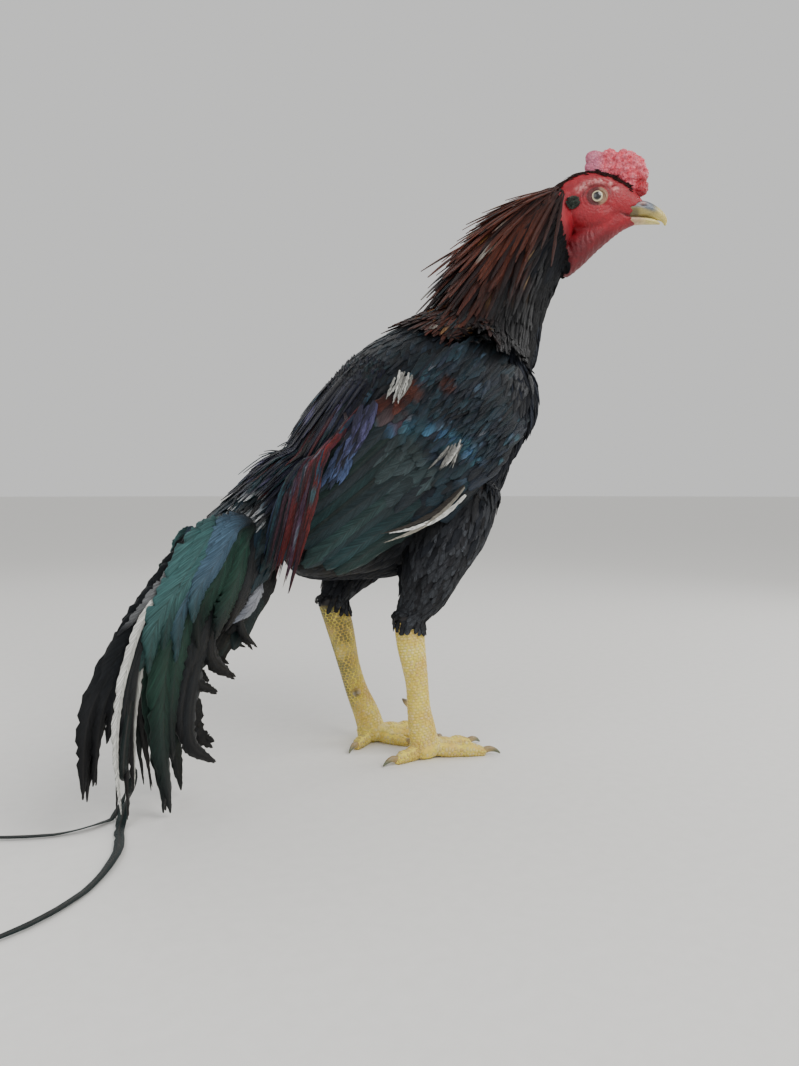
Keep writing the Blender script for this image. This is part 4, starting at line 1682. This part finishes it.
def add_tail(skin):
    rng = np.random.default_rng(91)
    rows = []
    for side, _ in SIDES:
        layer = 0
        for tier, (count, low, high, width) in enumerate((
                (8, 0.56, 0.66, 0.028), (8, 0.50, 0.62, 0.025), (7, 0.40, 0.56, 0.022))):
            for k in range(count):
                fan = (k + 0.5) / count
                fan = fan if tier % 2 else 1 - fan
                layer += 1
                out = side * (0.0010 + (0.00115 if side > 0 else 0.0007) * layer)
                rows.append((fan, out, rng.uniform(low, high), width * rng.uniform(0.85, 1.12)))
    fan, outs, lengths, widths = np.array(rows).T
    roots = np.stack((0.020 - 0.016 * fan, 0.232 - 0.040 * fan), 1) + rng.normal(0, 0.002, (len(fan), 2))
    curves = np.stack((0.152 - 0.100 * fan, 0.196 - 0.046 * fan), 1) + rng.normal(0, 0.003, (len(fan), 2))
    tips = np.stack((0.206 - 0.084 * fan, 0.004 + 0 * fan), 1) + rng.normal(0, 0.006, (len(fan), 2))
    steps = 22
    own = np.linspace(0, 1, steps)[None]
    share = (own * lengths[:, None])[..., None]
    flat = (roots[:, None] * (1 - share) ** 2 + 2 * curves[:, None] * share * (1 - share)
            + tips[:, None] * share ** 2)
    sway = rng.normal(0, 0.003, len(fan))[:, None] * own ** 3
    centres = tail_place(flat, outs[:, None] * (0.62 + 0.38 * np.minimum(1, own / 0.34)) + sway)
    centres[..., 2] = np.maximum(centres[..., 2], 0.0030)
    normals = np.broadcast_to(TAIL_OUT, centres.shape) * np.sign(outs)[:, None, None]
    colours = np.repeat(mixed(JET * 0.8, tone(26, 44, 46), rng.random(len(fan)))[:, None], steps, 1)
    tail = build_feathers("tail_feathers", centres, normals, widths, LONG, colours,
                          np.clip(np.stack((fan, 0.5 + outs * 10), 1), 0, 1), MATERIALS["tail"],
                          columns=6, camber=0.07, ragged=0.14, split=0.05, tilt=0.05, quill=0.8, seed=92)
    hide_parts("tail")
    # The feathers that show on either side, each with a few of its kind under it
    steps, columns = 72, 7
    share = np.linspace(0, 1, steps)
    centres, normals, widths, tints, patches = [], [], [], [], []
    for side, _ in SIDES[::-1]:
        for out, width, kind, *places in TAIL_SIDE:
            alone = kind in ("white", "edged", "streak", "pale")
            if side > 0 and alone:
                kind = "green"
            start = mixed(np.array(TAIL_HEART), np.array(places[0]), 0.45)
            for under in range(1 if alone else 2 if side > 0 else 3):
                shift = rng.normal(0, 0.0030 if under else 0.0005, (5, 2))
                shift[0] *= 0.3
                moved = np.pad(np.array((start, *places)) + shift, ((0, 0), (0, 1)))
                flat = line_loft(moved).read(share * 4)[:, :2]
                settle = 0.75 + 0.25 * np.minimum(1, share / 0.3)
                curl = rng.normal(0, 0.003) * share ** 3 - 0.004 * share ** 4
                lie = (out - 0.0022 * under) * settle + curl
                if side > 0:
                    # The far side closes towards the near one, as in the photo
                    lie = lie * 0.72 * (1 - share) ** 1.6
                    flat = flat * np.stack((1 - 0.24 * np.minimum(1, share * 2.2), 1 + 0 * share), 1)
                    flat[:, 1] -= 0.016 * (1 - share)
                line = tail_place(flat, -side * lie)
                line[:, 2] = np.maximum(line[:, 2], 0.004)
                centres.append(line)
                normals.append(np.tile(-side * TAIL_OUT, (steps, 1)))
                widths.append(width * rng.uniform(0.92, 1.05) * (1 - 0.08 * under))
                plain = tail_kind_colours("black" if under and kind == "blue" else kind, steps, columns, rng)
                tints.append(plain[:, ::-1] if side > 0 else plain)
                patches.append((0.1 + 0.8 * rng.random(), 0.1 + 0.8 * rng.random()))
    shown = build_feathers("tail_side_feathers", np.array(centres), np.array(normals), np.array(widths),
                           TAPER, np.array(tints), np.array(patches), MATERIALS["tail"], columns,
                           camber=0.18, ragged=0.26, split=0.16, tilt=0.10, quill=0.35, seed=93)
    # Coverts over and beside the root
    hull = tail_hull()
    over = tree_from(skin, shells=[hull.shell(40, 40)])
    places, angles = roots_on(hull, 0.0062, 0.0064, rng, 0.4, 3.05, 270, 112)
    roots = hull.points(places, angles, 0.0)
    count = len(roots)
    flows = hull.frames(places)[1] + np.array((0, 0, -0.25))
    lengths = rng.uniform(0.034, 0.056, count) * (1 - 0.45 * ramp(places, 1.7, 3.0))
    centres, faces = lay(over, roots, hull.normals(places, angles), flows, lengths, 11, 0.0008,
                         rng.uniform(0.002, 0.006, count), 0.0, 0.06, slack=0.002)
    base = mixed(JET, mixed(tone(26, 44, 58), TEAL, rng.random(count)), rng.random(count) * 0.9)
    near = (angles > 196) & (angles < 275) & (places > 1.1) & (places < 2.1)
    tuft = near * (rng.random(count) < 0.75)
    tip = mixed(base, PALE, tuft * rng.uniform(0.25, 1.0, count))
    colours = shaded(base, tip, 11, 0.0) * speckle(rng, count)
    wide = np.where(near, rng.uniform(0.0035, 0.0060, count), rng.uniform(0.009, 0.015, count))
    coverts = build_feathers("tail_coverts", centres, faces, wide, LANCE, colours,
                             patches_of(hull, places, angles), MATERIALS["saddle"], ragged=0.22, split=0.10,
                             tilt=0.12, quill=0.2, seed=94)


def add_sickles():
    """The two longest tail feathers, whose ends trail over the floor."""
    steps = 72
    share = np.linspace(0, 1, steps)
    profile = np.interp(np.linspace(0, 1, 14), (0.0, 0.15, 0.35, 0.55, 1.0), (0.3, 0.8, 1.0, 0.85, 0.15))
    for word, (places, width, rise) in SICKLES.items():
        inside = tail_place(np.array(SICKLE_INSIDE), np.full(len(SICKLE_INSIDE), SICKLE_OUT))
        floor = [(x, y, 0.0022 + (rise if number == 0 else 0)) for number, (x, y) in enumerate(places)]
        path = np.concatenate((inside, floor))
        rows = line_loft(path).read(share * (len(path) - 1))[:, :3]
        rows[:, 2] = np.maximum(rows[:, 2], 0.0022)
        down = 1 - ramp(rows[:, 2], 0.006, 0.030)
        turn = 0.32 * np.sin(share * 14.0) * ramp(share, 0.45, 0.6)
        normal = np.stack((0 * share, np.sin(turn), np.cos(turn)), 1)
        normal = unit(mixed(np.tile(-TAIL_OUT, (steps, 1)), normal, down))
        rows[:, 2] += np.abs(np.sin(turn)) * width * 0.4
        colours = np.tile(mixed(JET * 0.8, tone(30, 60, 58), 0.35), (1, steps, 1))
        obj = build_feathers("sickle_feather_" + word, rows[None], normal[None], np.array([width]), profile,
                             colours, np.array([(0.5, 0.5)]), MATERIALS["tail"], camber=0.06, ragged=0.12,
                             split=0.03, tilt=0.0, quill=1.0, seed=95)
        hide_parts("sickle_" + word)


# Studio


def add_light(name, place, target, size, energy, colour=(1, 1, 1)):
    data = bpy.data.lights.new(name, "AREA")
    data.shape = "DISK"
    data.size = size
    data.energy = energy
    data.color = colour
    light = bpy.data.objects.new(name, data)
    light.location = Vector(place)
    light.rotation_euler = (Vector(target) - Vector(place)).to_track_quat("-Z", "Y").to_euler()
    bpy.context.scene.collection.objects.link(light)
    return light


def add_studio():
    n = Nodes("floor")
    speck = n.add("TexNoise", Vector=n.place(), Scale=90.0, Detail=4.0).outputs[0]
    n.set(Base_Color=n.steps(speck, (0.3, (0.78, 0.77, 0.745)), (0.7, (0.81, 0.80, 0.775))), Roughness=0.7)
    n.set(Normal=n.bump(speck, 0.0004, 0.3))
    rim, rows = 64, 26
    points, faces = [(0, 0, 0)], []
    for row in range(rows):
        radius = 0.12 * 1.26 ** row
        for k in range(rim):
            a = 2 * math.pi * k / rim
            points.append((radius * math.cos(a), radius * math.sin(a), 0))
    for k in range(rim):
        faces.append((0, 1 + k, 1 + (k + 1) % rim))
        for row in range(rows - 1):
            a, b = 1 + row * rim + k, 1 + row * rim + (k + 1) % rim
            faces.append((a, a + rim, b + rim, b))
    floor = mesh_object("floor", np.array(points) - OFFSET * (1, 1, 0), faces, n.material)
    lights = [
        add_light("key", (0.7, -1.3, 1.7), (0, 0, 0.3), 1.3, 26, (1.0, 0.98, 0.95)),
        add_light("fill", (-1.3, -0.9, 1.1), (0, 0, 0.25), 1.6, 9, (0.93, 0.96, 1.0)),
        add_light("rim", (-0.4, 1.5, 1.5), (0, 0, 0.3), 1.2, 4),
        add_light("front", (1.5, 0.2, 0.9), (0.1, 0, 0.4), 1.0, 6),
    ]
    world = bpy.data.worlds.new("studio")
    world.use_nodes = True
    sky = world.node_tree.nodes["Background"]
    sky.inputs["Color"].default_value = (0.93, 0.93, 0.92, 1)
    sky.inputs["Strength"].default_value = 0.80
    bpy.context.scene.world = world


def add_camera():
    data = bpy.data.cameras.new("camera")
    data.sensor_fit = "VERTICAL"
    data.sensor_height = 36.0
    data.lens = data.sensor_height * FOCAL_PIXELS / PHOTO_HEIGHT
    camera = bpy.data.objects.new("camera", data)
    camera.location = Vector(CAMERA_PLACE + OFFSET)
    camera.rotation_euler = Vector(CAMERA_WAY).to_track_quat("-Z", "Y").to_euler()
    bpy.context.scene.collection.objects.link(camera)
    bpy.context.scene.camera = camera


def named(*starts):
    return [obj for obj in bpy.data.objects if obj.name.startswith(starts)]


def main():
    skin = add_skin()
    comb = add_comb()
    add_eyes()
    add_beak()
    skin_tree = tree_from(skin)
    for word in LEGS:
        add_leg_scales(skin_tree, word)
        add_claws(word)
    add_contour(skin_tree)
    add_breast(skin_tree)
    add_thighs(skin_tree)
    for side, word in SIDES:
        add_wing(side, word)
    add_tail(skin)
    add_saddle(tree_from(skin, *named("secondaries", "greater"), shells=[tail_hull().shell(40, 40, 0.004)]))
    add_hackle(tree_from(skin, *named("secondaries", "greater", "lesser", "median")), skin_tree)
    add_head_feathers(tree_from(skin, comb))
    add_sickles()
    add_studio()
    add_camera()


main()
